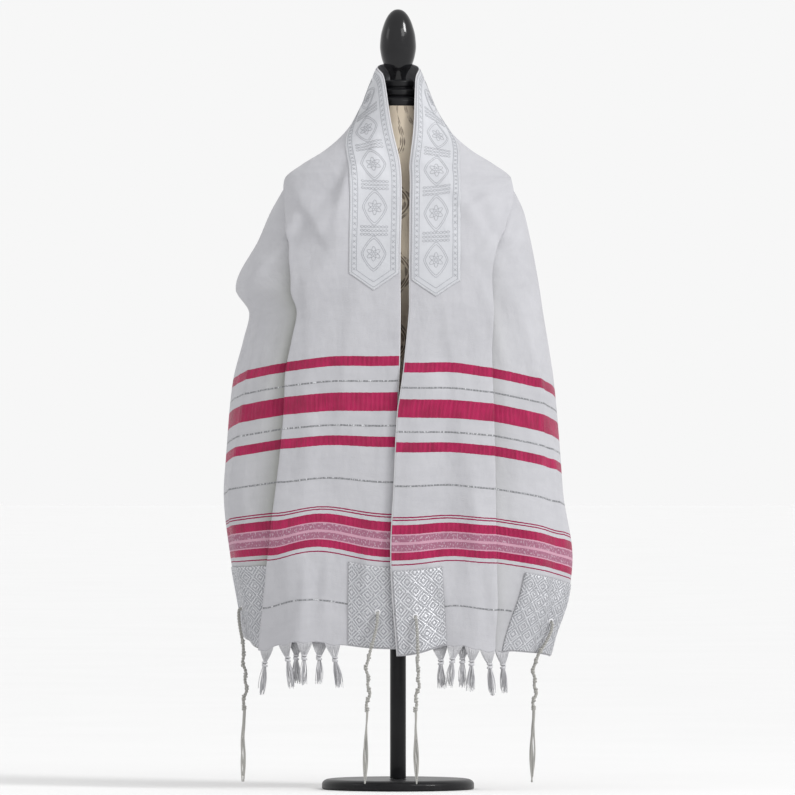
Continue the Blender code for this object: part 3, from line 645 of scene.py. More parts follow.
def clothFinish():
    # Plain weave with slubs; satin stripes streaked with painted shade, dashed metal lines with
    # painted glints, a firm selvedge, and painted shade on the outer layer beside the tuck.
    made = Finish("shawlCloth", Specular_IOR_Level=0.3, Sheen_Weight=0.12, Sheen_Roughness=0.4)
    flat = made.flat()
    across, along = flat.split()[:2]
    fromHem = along.maths("MINIMUM", shawl["length"] - along)
    wander = flat.noise(220.0, 2.0)
    woven = fromHem + (wander - 0.5) * (1.1 * mm)
    level = woven / stripeSpan
    pink, pale, line, paleEdge = [
        level.node("ValToRGB", {"stops": stripeStops(kind)}, {"Fac": level})
        for kind in ("pink", "pale", "line", "edge")]
    # The painted shade beside the tuck, read from the cloth's points.
    underTuck = made.start.node("Attribute", {"attribute_name": "underTuck"}, output=2)
    dash = across.wave(4.2 * mm).step(0.25, 0.4)
    silver = sum(woven.within((height - silverHalf) * mm, (height + silverHalf) * mm, 0.3 * mm)
                 for height in silverLines) * (dash * 0.3 + 0.7)
    patchy = flat.noise(9.0, 3.0)
    cloudy = flat.noise(30.0, 4.0, stretch=(1, 3, 1))
    # Random upright streaks between pink and its painted shade stand for light and shade on the
    # satin's folds.
    rib = flat.noise(420.0, 2.0, stretch=(1, 0.05, 1)) * 0.45 + flat.noise(34.0, 2.0) * 0.55
    shading = (patchy * 0.6 + cloudy * 0.4).step(0.25, 0.8)
    ground = shading.mix(colours["cloth"], colours["clothShade"])
    # Painted shade: the cloth darkens beside the tuck, and its pink stripes with it.
    ground = (underTuck * 0.75).mix(ground, colours["underTuck"])
    satin = (rib.step(0.3, 0.7) * (1 - underTuck * 0.9)).mix(colours["pinkShade"], colours["pink"])
    fleck = flat.noise(560.0, 2.0, stretch=(1, 0.5, 1)).step(0.5, 0.68)
    paleCloth = fleck.mix(colours["pale"], colours["paleFleck"])
    # Painted glints: random light flecks on the metal lines.
    paintedGlint = flat.noise(420.0, 2.0, stretch=(1, 0.3, 1)).step(0.52, 0.66)
    metal = paintedGlint.mix(colours["silver"], colours["paintedGlint"])
    colour = pale.mix(ground, paleCloth)
    colour = paleEdge.mix(colour, colours["paleEdge"])
    colour = pink.mix(colour, satin)
    colour = line.mix(colour, colours["line"])
    colour = silver.mix(colour, metal)
    edge = 1 - across.step(1.0 * mm, 1.8 * mm)
    colour = edge.mix(colour, colours["selvedge"])
    made.link("Base Color", colour)
    made.link("Roughness", 0.84 - pink * 0.40 - silver * 0.40)
    made.link("Metallic", silver * 0.3)
    weave = across.wave(1.05 * mm) * along.wave(1.05 * mm, 1.2)
    slub = flat.noise(640.0, 3.0, stretch=(0.25, 1, 1))
    crease = flat.noise(13.0, 3.0, 0.45, stretch=(1.6, 0.8, 1))
    satinRows = across.wave(0.9 * mm) * pink
    made.bump(weave * 0.35 + slub * 0.5 + crease * 13.0 + satinRows * 0.4 + silver * 1.2 + edge,
              0.6 * mm)
    return made.material


def bandFinish():
    # Bluish satin with a fine twill and soft clouding along its length.
    made = Finish("bandSatin", Specular_IOR_Level=0.5, Sheen_Weight=0.15)
    flat = made.flat()
    across, along = flat.split()[:2]
    twill = (across + along).wave(0.9 * mm)
    cloud = flat.noise(24.0, 3.0)
    tone = (cloud * 0.8 + twill * 0.2).step(0.2, 0.85)
    made.link("Base Color", tone.mix(colours["bandShade"], colours["band"]))
    made.link("Roughness", cloud * 0.18 + 0.32)
    made.bump(twill * 0.5 + flat.noise(40.0, 3.0) * 2.0, 0.4 * mm)
    return made.material


def patchFinish():
    # Silver white damask: nested lozenges, whose rings follow the sum of the distances across
    # and along from each tile's middle, over close satin ribs.
    made = Finish("patchDamask", Specular_IOR_Level=0.55)
    flat = made.flat()
    across, along = flat.split()[:2]
    wide, high = 22 * mm, 26 * mm
    tileAcross = ((across / wide).maths("FRACT") - 0.5).maths("ABSOLUTE") * wide
    tileAlong = ((along / high).maths("FRACT") - 0.5).maths("ABSOLUTE") * high
    nest = (tileAcross * 1.15 + tileAlong).wave(5.6 * mm).step(0.3, 0.7)
    rib = (across + along).wave(1.3 * mm)
    cloud = flat.noise(48.0, 3.0)
    tone = nest * 0.62 + cloud * 0.28 + rib * 0.1
    made.link("Base Color", tone.step(0.1, 0.85).mix(colours["patchShade"], colours["patch"]))
    made.link("Roughness", 0.5 - nest * 0.2)
    made.link("Metallic", nest * 0.25)
    made.bump(nest * 1.4 + rib * 0.3 + cloud, 0.5 * mm)
    return made.material


def threadFinish(name, colour, metallic, roughness):
    # Twisted thread: a slanting ply along its length, with painted shade in the grooves.
    made = Finish(name, Specular_IOR_Level=0.5, Metallic=metallic)
    flat = made.flat()
    lane, length = flat.split()[:2]
    pitch = 1.6 * mm
    ply = (length + lane * pitch).wave(pitch)
    dark = tuple(value * 0.72 for value in colour)
    made.link("Base Color", ply.step(0.05, 0.7).mix(dark, colour))
    made.link("Roughness", ply * 0.1 + (roughness - 0.05))
    made.bump(ply, 0.18 * mm)
    return made.material


def yarnFinish(name, colour, pitch):
    # Soft plied yarn with a little fuzz and uneven dye, and painted shade in the ply's grooves.
    made = Finish(name, Specular_IOR_Level=0.25, Sheen_Weight=0.4, Sheen_Roughness=0.5)
    flat = made.flat()
    lane, length = flat.split()[:2]
    ply = (length + lane * pitch).wave(pitch)
    tone = made.solid().noise(160.0, 3.0)
    dark = tuple(value * 0.74 for value in colour)
    made.link("Base Color", (ply * 0.6 + tone * 0.4).step(0.12, 0.75).mix(dark, colour))
    made.link("Roughness", tone * 0.1 + 0.82)
    made.bump(ply * 0.8 + made.solid().noise(1400.0, 2.0) * 0.5, 0.25 * mm)
    return made.material


def linenFinish():
    # Beige linen with slubs, printed with a loose trail of dark sprigs and dots.
    made = Finish("formLinen", Specular_IOR_Level=0.25, Sheen_Weight=0.2)
    flat = made.flat()
    across, along = flat.split()[:2]
    weave = across.wave(0.9 * mm) * along.wave(0.9 * mm)
    cloud = made.solid().noise(14.0, 4.0)
    ground = cloud.step(0.3, 0.75).mix(colours["linenDark"], colours["linen"])
    wander = flat.noise(12.0, 1.0) - 0.5
    apart = 44 * mm                        # from one trail to the next
    swing = wander * (22 * mm) + (along.wave(92 * mm) - 0.5) * (26 * mm)
    lane = (across + swing) / apart + 0.5
    off = (lane.maths("FRACT") - 0.5).maths("ABSOLUTE") * apart
    stem = 1 - off.step(0.7 * mm, 1.5 * mm)
    leafRow = (along / (15 * mm)).maths("FRACT") - 0.5
    reach = (1 - (leafRow * leafRow) * 5.0).maths("MAXIMUM", 0.0) * (3.6 * mm)
    past = (off - 4.4 * mm).maths("ABSOLUTE") - reach * 0.55
    leaf = (1 - past.step(-0.2 * mm, 0.5 * mm)) * off.within(1.3 * mm, 8 * mm, 0.4 * mm)
    worn = made.solid().noise(60.0, 4.0).step(0.32, 0.5)
    ink = stem.maths("MAXIMUM", leaf * 0.85) * worn * 0.85
    made.link("Base Color", ink.mix(ground, colours["print"]))
    made.link("Roughness", cloud * 0.12 + 0.76)
    made.bump(weave * 0.5 + made.solid().noise(300.0, 3.0) * 0.8, 0.35 * mm)
    return made.material


def lacquerFinish(name, roughness, coat, lathe):
    # Black lacquer over turned wood: faint lathe lines and finger smears in the gloss.
    made = Finish(name, Coat_Weight=coat, Coat_Roughness=0.06, Specular_IOR_Level=0.12)
    solid = made.solid()
    smear = solid.noise(22.0, 4.0)
    lines = solid.split()[2].wave(1.1 * mm)
    made.link("Base Color", smear.step(0.35, 0.8).mix(colours["black"], colours["blackSmear"]))
    made.link("Roughness", smear * 0.16 + roughness)
    made.bump(lines * lathe + smear * 0.6, 0.25 * mm)
    return made.material


def floorFinish():
    # A pale matt floor with the faintest clouding.
    made = Finish("paleFloor", Specular_IOR_Level=0.1)
    solid = made.solid()
    cloud = solid.noise(3.0, 3.0).step(0.2, 0.8)
    made.link("Base Color", cloud.mix(colours["floorShade"], colours["floor"]))
    made.link("Roughness", solid.noise(40.0, 2.0) * 0.1 + 0.8)
    return made.material


finishes = {
    "cloth": clothFinish(),
    "band": bandFinish(),
    "patch": patchFinish(),
    "bandThread": threadFinish("silverBlueThread", colours["thread"], 0.45, 0.42),
    "patchThread": threadFinish("brightSilkThread", colours["patchThread"], 0.2, 0.34),
    "sewing": threadFinish("sewingThread", colours["sewing"], 0.0, 0.6),
    "yarn": yarnFinish("fringeYarn", colours["yarn"], 1.8 * mm),
    "cord": yarnFinish("cornerCordYarn", colours["cord"], 2.4 * mm),
    "linen": linenFinish(),
    "finial": lacquerFinish("finialLacquer", 0.12, 0.45, 0.05),
    "cap": lacquerFinish("capLacquer", 0.30, 0.15, 0.7),
    "stand": lacquerFinish("standLacquer", 0.34, 0.15, 0.0),
    "floor": floorFinish(),
}
print("materials made:", len(finishes))


def buildShawl():
    # Each row runs over the front layer, half a circle down, back under it, half a circle
    # again and out over the outer layer.
    counts = shawl["columns"]
    hemRows = np.array([0, 2, 4, 7, 10, 13]) * mm
    along = np.concatenate([hemRows, np.linspace(16 * mm, shawl["length"] - 16 * mm, shawl["rows"]),
                            shawl["length"] - hemRows[::-1]])
    tuck = drape.alongRows(drape.tuck, along)[:, None]
    full = drape.alongRows(drape.full, along)[:, None]
    backIn = tuck - drape.alongRows(drape.overlap, along)[:, None]
    line = unit(np.gradient(np.stack([np.interp(along, drape.rows, drape.tuckLine[:, axis])
                                      for axis in range(3)], -1), axis=0))
    step = 2 * mm
    path = unit(drape.place(along, tuck[:, 0] + step) - drape.place(along, tuck[:, 0] - step))
    sine = np.linalg.norm(np.cross(line, path), axis=-1)[:, None]
    slant = 1 / np.maximum(sine, shawl["mostSlant"])
    turns = np.linspace(0, np.pi, counts["bend"] + 2)[None, 1:-1]
    bulge = slant * np.sin(turns) * shawl["layerStep"] / 2
    fall = np.broadcast_to(-(1 - np.cos(turns)) * shawl["layerStep"] / 2, bulge.shape)
    front = tuck * np.linspace(0, 1, counts["front"])
    hidden = tuck + (backIn - tuck) * np.linspace(0, 1, counts["hidden"])
    outer = backIn + (full - backIn) * np.linspace(0, 1, counts["outer"])
    out = np.concatenate([front, tuck + bulge, hidden, backIn - bulge, outer], axis=1)
    depth = np.concatenate([np.zeros_like(front), fall, np.full_like(hidden, -shawl["layerStep"]),
                            fall - shawl["layerStep"], drape.under(along[:, None], outer)], axis=1)
    between = 2 * counts["bend"] + counts["hidden"]
    layer = np.concatenate([np.zeros(counts["front"]), np.full(between, 9),
                            np.ones(counts["outer"])])   # 0 the front layer, 1 the outer one
    grid = drape.place(along[:, None], out, depth, layer[None])
    steps = np.linalg.norm(np.diff(grid, axis=1), axis=-1)
    across = np.concatenate([np.zeros((len(along), 1)), np.cumsum(steps, axis=1)], axis=1)
    across = across * shawl["width"] / across[:, -1:]
    uv = np.stack([across, np.broadcast_to(along[:, None], across.shape)], -1)
    made = sheetPiece("shawlCloth", grid, uv, shawl["wall"], finishes["cloth"])
    # Painted shade: the outer layer is darkened where it comes out from under the tuck; it
    # fades as exp(-distance), three times as fast on the hidden side.
    # The painted shade is stored on the cloth's points, weaker on the right, and fades out up the
    # fronts.
    beyond = np.where(out > tuck, out - tuck, (tuck - out) * 3)
    onLeft, onRight = shawl["tuckShadeShares"]
    share = np.where(along < shawl["length"] / 2, onLeft, onRight)[:, None]
    low = 1 - softStep(np.minimum(along, shawl["length"] - along), *shawl["tuckShadeZone"])[:, None]
    paintedShade = np.exp(-beyond / shawl["tuckShadeWidth"]) * (layer == 1)[None] * share * low
    made.data.attributes.new("underTuck", "FLOAT", "POINT").data.foreach_set(
        "value", paintedShade.astype(np.float32).ravel())
    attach(made, "root")
    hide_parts("tallit_left_front", "tallit_left_shoulder", "tallit_back",
                "tallit_right_shoulder", "tallit_right_front")
    return made


band = {
    "width": 68 * mm, "inset": 3 * mm, "start": 515 * mm, "point": 23 * mm, "wall": 0.5 * mm,
    "lift": 0.95 * mm, "threadLift": 1.3 * mm, "thread": 0.32 * mm,
    "lines": (4.0 * mm, 10.5 * mm), "drawIn": 1.1, "crossPitch": 7.5 * mm, "crossArm": 1.9 * mm,
    "crossGap": 6 * mm, "motifPitch": 62 * mm, "motifHalf": (24 * mm, 17 * mm),
    "motifFirst": 27 * mm, "waveHalf": 19 * mm, "waveRow": 3.4 * mm, "waveRise": 1.5 * mm,
}


def bandTip(across):
    # The band's end is a point: furthest down at its middle, falling evenly to both sides.
    return band["start"] - band["point"] * (1 - np.abs(2 * across / band["width"] - 1))


def onBand(part, across, lift, inset=0.0):
    # part 0 is the left point and 1 the right one; inset draws the ends back.
    tip = bandTip(across) + inset
    along = tip + part * (shawl["length"] - 2 * tip)
    points, normal = drape.surface(along, band["inset"] + across, lift)
    return points, normal, along


def onSatin(along, across):
    return drape.surface(along, band["inset"] + across, band["threadLift"])


def layThread(name, points, normals, share=1.0):
    # Thread along every path, pressed flat on the satin.
    return tubeBundle(name, points, band["thread"] * share, finishes["bandThread"],
                      reference=normals, flat=0.7)


def buildBand():
    # A strip on the cloth's inner edge: a grid of part along it and distance across it.
    part, across = np.meshgrid(np.linspace(0, 1, 301), np.linspace(0, band["width"], 25),
                               indexing="ij")
    points, normal, along = onBand(part, across, band["lift"])
    made = sheetPiece("neckbandSatin", points, np.stack([across, along], -1), band["wall"],
                      finishes["band"])
    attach(made, "root")
    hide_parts("neckband")
    return made


def bandBorder():
    # Two lines of laid thread down each side and round both points, with a row of small crosses
    # between them: each is a place across the band at every place along it.
    sides, ends, crosses = [], [], []
    part = np.linspace(0, 1, 420)
    for inset in band["lines"]:
        drawn = inset * band["drawIn"]
        for across in (inset, band["width"] - inset):
            sides.append(onBand(part, np.full_like(part, across), band["threadLift"], drawn)[:2])
        across = np.linspace(inset, band["width"] - inset, 40)
        for along in (bandTip(across) + drawn, shawl["length"] - bandTip(across) - drawn):
            ends.append(onSatin(along, across))
    first = band["start"] + band["crossGap"]
    spots = np.arange(first, shawl["length"] - first, band["crossPitch"])
    slide = np.linspace(-band["crossArm"], band["crossArm"], 5)
    middle = sum(band["lines"]) / 2
    for side in (middle, band["width"] - middle):
        for lean in (-1, 1):
            crosses.append(onSatin(spots[:, None] + slide, side + slide * lean))
    return [layThread("bandLines", *map(np.array, zip(*sides))),
            layThread("bandPoints", *map(np.array, zip(*ends))),
            layThread("bandCrosses", *map(np.concatenate, zip(*crosses)), share=0.9)]


def bandMotifs():
    # Closed curves round each motif's middle: a soft lozenge, an inner one, and a rosette whose
    # radius swings six times a turn. Between motifs a pair of crossing waves.
    turn = np.linspace(0, 2 * np.pi, 73)
    middle = band["width"] / 2
    halfLong, halfWide = band["motifHalf"]
    first = band["start"] + band["motifFirst"]
    count = int((shawl["length"] / 2 - first) / band["motifPitch"]) + 1
    centres = first + np.arange(count) * band["motifPitch"]
    centres = np.concatenate([centres, shawl["length"] - centres])

    def lozenge(share):
        reach = (np.abs(np.cos(turn)) ** 1.3 + np.abs(np.sin(turn)) ** 1.3) ** (-1 / 1.3)
        return reach * np.cos(turn) * halfLong * share, reach * np.sin(turn) * halfWide * share

    def rosette(size, petals, swing):
        reach = size * (1 + swing * np.cos(petals * turn))
        return reach * np.cos(turn), reach * np.sin(turn)

    curves = [lozenge(1.0), lozenge(0.86), rosette(8.0 * mm, 6, 0.26), rosette(4.4 * mm, 6, -0.3),
              rosette(1.9 * mm, 3, 0.0)]
    along = np.concatenate([centres[:, None] + curve[0] for curve in curves])
    across = np.concatenate([middle + np.broadcast_to(curve[1], (len(centres), len(turn)))
                             for curve in curves])
    motifs = layThread("bandMotifs", *onSatin(along, across), share=0.9)
    gaps = (centres[:-1] + centres[1:]) / 2
    gaps = gaps[np.abs(np.diff(centres)) < band["motifPitch"] * 1.5]
    slide = np.linspace(-1, 1, 41)
    waves = []
    for phase in (0, np.pi):
        for row in (-1.5, 0, 1.5):
            rise = band["waveRise"] * np.sin(slide * 4 * np.pi + phase)
            along = gaps[:, None] + row * band["waveRow"] + rise
            waves.append((along, np.broadcast_to(middle + slide * band["waveHalf"], along.shape)))
    links = layThread("bandWaves", *onSatin(*map(np.concatenate, zip(*waves))), share=0.8)
    return [motifs, links]


patch = {
    "innerWidth": 68 * mm, "outerWidth": 118 * mm, "height": 118 * mm, "inset": 2 * mm,
    "innerInset": 3 * mm, "wall": 0.5 * mm, "lift": 1.35 * mm, "threadLift": 1.75 * mm,
    "thread": 0.40 * mm, "holeUp": 54 * mm, "eyelet": 3.6 * mm, "eyeletThread": 0.62 * mm,
    "margin": 5 * mm, "head": 9 * mm, "netSide": 4 * mm, "lane": 10.5 * mm,
    "rings": (2.7 * mm, 1.3 * mm), "ringClear": 6 * mm,
    "holeIn": {"left_inner": 30 * mm, "left_outer": 30 * mm, "right_inner": 30 * mm,
               "right_outer": 50 * mm},
}


def onPatch(side, edge, across, up, lift):
    # A place on a patch: across from the cloth's edge and up from the hem.
    along = up if side == "left" else shawl["length"] - up
    if edge == "inner":
        return drape.surface(along, across, lift)
    out = drape.alongRows(drape.full, along) - across
    return drape.surface(along, out, lift, outer=True)


def patchSpan(edge):
    if edge == "inner":
        return patch["innerInset"], patch["innerInset"] + patch["innerWidth"]
    return patch["inset"], patch["inset"] + patch["outerWidth"]


def buildPatch(side, edge):
    low, high = patchSpan(edge)
    top = patch["inset"] + patch["height"]
    up, across = np.meshgrid(np.linspace(patch["inset"], top, 50), np.linspace(low, high, 36),
                             indexing="ij")
    points, normal = onPatch(side, edge, across, up, patch["lift"])
    made = sheetPiece(f"patch_{side}_{edge}_cloth", points, np.stack([across, up], -1), patch["wall"],
                      finishes["patch"])
    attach(made, "root")
    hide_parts(f"patch_{side}_{edge}")
    return made


def layPatchThread(kind, side, edge, across, up):
    points, normal = onPatch(side, edge, across, up, patch["threadLift"])
    return tubeBundle(f"{kind}_{side}_{edge}", points, patch["thread"], finishes["patchThread"],
                      reference=normal, flat=0.7)


def patchThreads(side, edge):
    # Upright threads that swing as a sine, neighbours in opposite step so that they make a net
    # of eyes; a plain frame of three lines; small rings in a chequer of the eyes.
    margin, head = patch["margin"], patch["head"]
    low, high = patchSpan(edge)
    low, high = low + margin, high - margin
    bottom, top = patch["inset"] + margin, patch["inset"] + patch["height"] - margin
    netWidth = high - low - 2 * patch["netSide"]
    count = int(netWidth / patch["lane"])
    pitch = netWidth / count
    lanes = low + patch["netSide"] + pitch * (np.arange(count) + 0.5)
    up = np.linspace(bottom + head, top - head, 120)
    period = (top - bottom - 2 * head) / 4
    swing = (pitch / 2 - 1.2 * mm) * np.cos(2 * np.pi * (up - bottom - head) / period)
    flip = np.where(np.arange(count) % 2, -1, 1)[:, None]
    across = np.concatenate([lanes[:, None] + swing * flip + shift * mm for shift in (-0.8, 0.8)])
    net = layPatchThread("patchNet", side, edge, across, np.broadcast_to(up, across.shape))
    slide = np.linspace(0, 1, 90)
    frameAcross = []
    frameUp = []
    for inset in (0, 2.2 * mm):
        for level in (bottom + inset, top - inset):
            frameAcross.append(low + inset + (high - low - 2 * inset) * slide)
            frameUp.append(np.full_like(slide, level))
        for edgeLine in (low + inset, high - inset):
            frameAcross.append(np.full_like(slide, edgeLine))
            frameUp.append(bottom + inset + (top - bottom - 2 * inset) * slide)
    for level in (bottom + 5.5 * mm, top - 5.5 * mm):
        frameAcross.append(low + 3 * mm + (high - low - 6 * mm) * slide)
        frameUp.append(level + 1.5 * mm * np.sin(slide * 2 * np.pi * 9))
    border = layPatchThread("patchFrame", side, edge, np.array(frameAcross), np.array(frameUp))
    holeAcross = patch["holeIn"][f"{side}_{edge}"]
    turn = np.linspace(0, 2 * np.pi, 49)
    outerRim, innerRim = (patch["eyelet"], 0.2 * mm), (patch["eyelet"] - 0.8 * mm, 0.35 * mm)
    rims = [onPatch(side, edge, holeAcross + radius * np.cos(turn),
                    patch["holeUp"] + radius * np.sin(turn), patch["threadLift"] + height)
            for radius, height in (outerRim, innerRim)]
    points, normals = map(np.array, zip(*rims))
    eyelet = tubeBundle(f"eyelet_{side}_{edge}", points, patch["eyeletThread"], finishes["sewing"],
                        sides=6, reference=normals)
    # The net is widest between lanes at each half period: a ring fills each such eye.
    turn = np.linspace(0, 2 * np.pi, 17)
    gap, level = np.meshgrid(np.arange(count - 1), np.arange(9), indexing="ij")
    chosen = (gap + level) % 2 == 1
    middle = (lanes[:-1] + pitch / 2)[gap[chosen]][:, None]
    height = (bottom + head + level[chosen] * period / 2)[:, None]
    ringAcross = np.concatenate([middle + size * np.cos(turn) for size in patch["rings"]])
    ringUp = np.concatenate([height + size * np.sin(turn) for size in patch["rings"]])
    clear = patch["ringClear"]
    inside = (ringUp.min(axis=1) > bottom + clear) & (ringUp.max(axis=1) < top - clear)
    eyes = layPatchThread("patchRings", side, edge, ringAcross[inside], ringUp[inside])
    return [net, border, eyelet, eyes]


stitch = {
    "pitch": 3.8 * mm, "length": 2.4 * mm, "radius": 0.26 * mm, "rise": 0.25 * mm, "in": 1.3 * mm,
}


def stitchesAlong(name, centre, normal):
    # Short arches of thread in a row: each starts in the cloth, rises and goes back in.
    length = np.concatenate([[0], np.cumsum(np.linalg.norm(np.diff(centre, axis=0), axis=1))])
    starts = np.arange(0, length[-1] - stitch["length"], stitch["pitch"])
    slide = np.linspace(0, 1, 5)
    at = starts[:, None] + slide * stitch["length"]
    points = np.stack([np.interp(at, length, centre[:, axis]) for axis in range(3)], -1)
    facing = np.stack([np.interp(at, length, normal[:, axis]) for axis in range(3)], -1)
    arch = (np.sin(slide * np.pi) - 0.35) * stitch["rise"]
    points = points + facing * arch[:, None]
    return tubeBundle(name, points, stitch["radius"], finishes["sewing"], reference=facing)


def buildStitching():
    # Rows of stitches just inside the edges of the neckband and of each patch.
    made = []
    inset = stitch["in"]
    onTop = band["lift"] + band["wall"] / 2
    part = np.linspace(0, 1, 500)
    for label, across in (("inner", inset), ("outer", band["width"] - inset)):
        points, normal, along = onBand(part, np.full_like(part, across), onTop, 2 * mm)
        made.append(stitchesAlong(f"bandStitches_{label}", points, normal))
    across = np.linspace(inset, band["width"] - inset, 60)
    tip = bandTip(across) + 1.8 * mm
    for label, along in (("left", tip), ("right", shawl["length"] - tip)):
        points, normal = drape.surface(along, band["inset"] + across, onTop)
        made.append(stitchesAlong(f"bandPointStitches_{label}", points, normal))
    slide = np.linspace(0, 1, 60)
    still = np.ones(60)
    bottom, top = patch["inset"] + inset, patch["inset"] + patch["height"] - inset
    loopUp = np.concatenate([still * bottom, bottom + (top - bottom) * slide,
                             still * top, top - (top - bottom) * slide])
    for side in ("left", "right"):
        for edge in ("inner", "outer"):
            low, high = patchSpan(edge)
            low, high = low + inset, high - inset
            loopAcross = np.concatenate([low + (high - low) * slide, still * high,
                                         high - (high - low) * slide, still * low])
            points, normal = onPatch(side, edge, loopAcross, loopUp,
                                     patch["lift"] + patch["wall"] / 2)
            made.append(stitchesAlong(f"patchStitches_{side}_{edge}", points, normal))
    return made


fringe = {
    "spread": 10.5 * mm, "fan": 20 * mm, "strands": 34, "strand": 0.52 * mm, "knot": 3.2 * mm,
    "wrap": 1.15 * mm, "skirt": 5.6 * mm, "steps": 26, "root": 1.0 * mm, "longer": 1.28,
}
draw = np.random.default_rng(7)


def buildTassel(side, letter, layer, out, lean, drop):
    # Strands leave the hem in a fan, pass the knot as a tight bunch and spread again: the
    # sideways place of each is its hem place times a width that narrows and widens.
    hem = 0.0 if side == "left" else shawl["length"]
    count, steps = fringe["strands"], fringe["steps"]
    places = np.linspace(-1, 1, count)
    outs = out * mm + places * fringe["spread"]
    roots, normal = drape.surface(np.full(count, hem), outs, 0.0, outer=layer > 0)
    middle = roots.mean(axis=0)
    face = unit(np.array([*normal[count // 2][:2], 0.0]))
    sideways = unit(np.cross(face, world))
    sideways = sideways * np.sign(np.dot(roots[-1] - roots[0], sideways))
    fan = fringe["fan"]
    knotAt = middle + np.array([0, 0, -fan]) + sideways * lean * 4 * mm
    upper = np.linspace(0, 1, steps // 2)
    lower = np.linspace(0, 1, steps - steps // 2 + 1)[1:]
    angle = draw.uniform(0, 2 * np.pi, count)
    spin = np.sqrt(draw.uniform(0, 1, count))
    ringA = sideways * np.cos(angle)[:, None] + face * np.sin(angle)[:, None]
    bunch = knotAt + ringA * spin[:, None] * 1.6 * mm
    rootHigh = roots + np.array([0, 0, fringe["root"]])
    ease = (upper ** 1.35)[None, :, None]
    top = rootHigh[:, None] * (1 - ease) + bunch[:, None] * ease
    sag = draw.uniform(-1, 1, count)[:, None, None] * 0.5 * mm
    top = top + np.sin(upper * np.pi)[None, :, None] * face * sag
    top[:, :, 2] = rootHigh[:, None, 2] * (1 - upper) + bunch[:, None, 2] * upper
    long = drop * mm * fringe["longer"] * draw.uniform(0.8, 1.1, count)
    flare = fringe["skirt"] * spin * draw.uniform(0.7, 1.15, count)
    widen = (np.sin(lower * np.pi * 0.62) * 0.85 + lower * 0.25)[None, :, None]
    curl = draw.uniform(-1.6, 1.6, (count, 1, 1)) * mm * (lower ** 2)[None, :, None]
    twist = np.sin(lower * 4.0 + angle[:, None])[..., None] * 0.7 * mm
    bottom = (bunch[:, None] + ringA[:, None] * flare[:, None, None] * widen * 0.75
              + sideways * (lean * 5 * mm * lower[None, :, None] + curl + twist * lower[None, :, None])
              + face * twist * lower[None, :, None])
    bottom[:, :, 2] = bunch[:, 2][:, None] - long[:, None] * lower
    paths = np.concatenate([top, bottom], axis=1)
    taper = np.concatenate([np.full(len(upper), 1.0), np.linspace(1.0, 0.75, len(lower))])
    strands = tubeBundle(f"fringe_{side}_{letter}", paths, fringe["strand"] * taper, finishes["yarn"],
                         reference=face)
    winding = np.linspace(0, 2 * np.pi * 2.6, 60)
    rise = np.linspace(3.2, -3.2, 60) * mm
    wrap = (knotAt + (sideways * np.cos(winding)[:, None] * fringe["knot"]
                      + face * np.sin(winding)[:, None] * fringe["knot"] * 0.85))
    wrap[:, 2] += rise + np.sin(winding * 0.5) * 0.8 * mm
    knot = tubeBundle(f"fringeKnot_{side}_{letter}", wrap[None], fringe["wrap"], finishes["yarn"],
                      sides=6)
    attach(strands, "root")
    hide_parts(f"tassel_{side}_{letter}")
    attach(knot, "root")
    return [strands, knot]


cord = {
    "foot": 9 * mm, "radius": 1.3 * mm, "offset": 1.15 * mm, "twist": 8.5 * mm,
    "clear": 9 * mm, "strand": 1.25 * mm, "loose": 104 * mm, "kink": 2.2 * mm,
    "knots": (0.34, 0.46, 0.57, 0.68, 0.80, 0.90),
}
cords = (("left", "inner", -1.0, -13), ("left", "outer", -0.6, 5), ("right", "inner", 0.5, -3),
         ("right", "outer", -0.8, -17))


def cordRoute(side, edge, sway, drift, steps):
    # From the hole down over the patch to the hem, then hanging: straight down with a slow sine
    # sideways that starts at the hem.
    spots = []
    for up in (patch["holeUp"], 0.0):
        holeIn = patch["holeIn"][f"{side}_{edge}"]
        point, normal = onPatch(side, edge, np.array([holeIn]), np.array([up]), 0.0)
        lift = patch["threadLift"] + 0.4 * mm + cord["radius"] + cord["offset"]
        spots.append(point[0] + normal[0] * lift)
        away = unit(np.array([*normal[0][:2], 0.0]))
    hole, hem = spots
    foot = cord["foot"] + cord["loose"]
    part = np.linspace(0, 1, steps)
    height = hole[2] + (foot - hole[2]) * part
    below = softStep(hem[2] - height, 0, 40 * mm)
    near = np.clip((hole[2] - height) / (hole[2] - hem[2]), 0, 1)[:, None]
    spot = hole * (1 - near) + hem * near + away * cord["clear"] * near ** 0.5
    wave = np.sin(part * 11 + sway) * 2.2 * mm + np.sin(part * 34 + 2 * sway) * cord["kink"] * 0.6
    swing = drift * mm * softStep(part, 0.05, 0.6) + wave * below
    spot = spot + np.array([1.0, 0, 0]) * swing[:, None]
    spot[:, 2] = height
    return spot, away


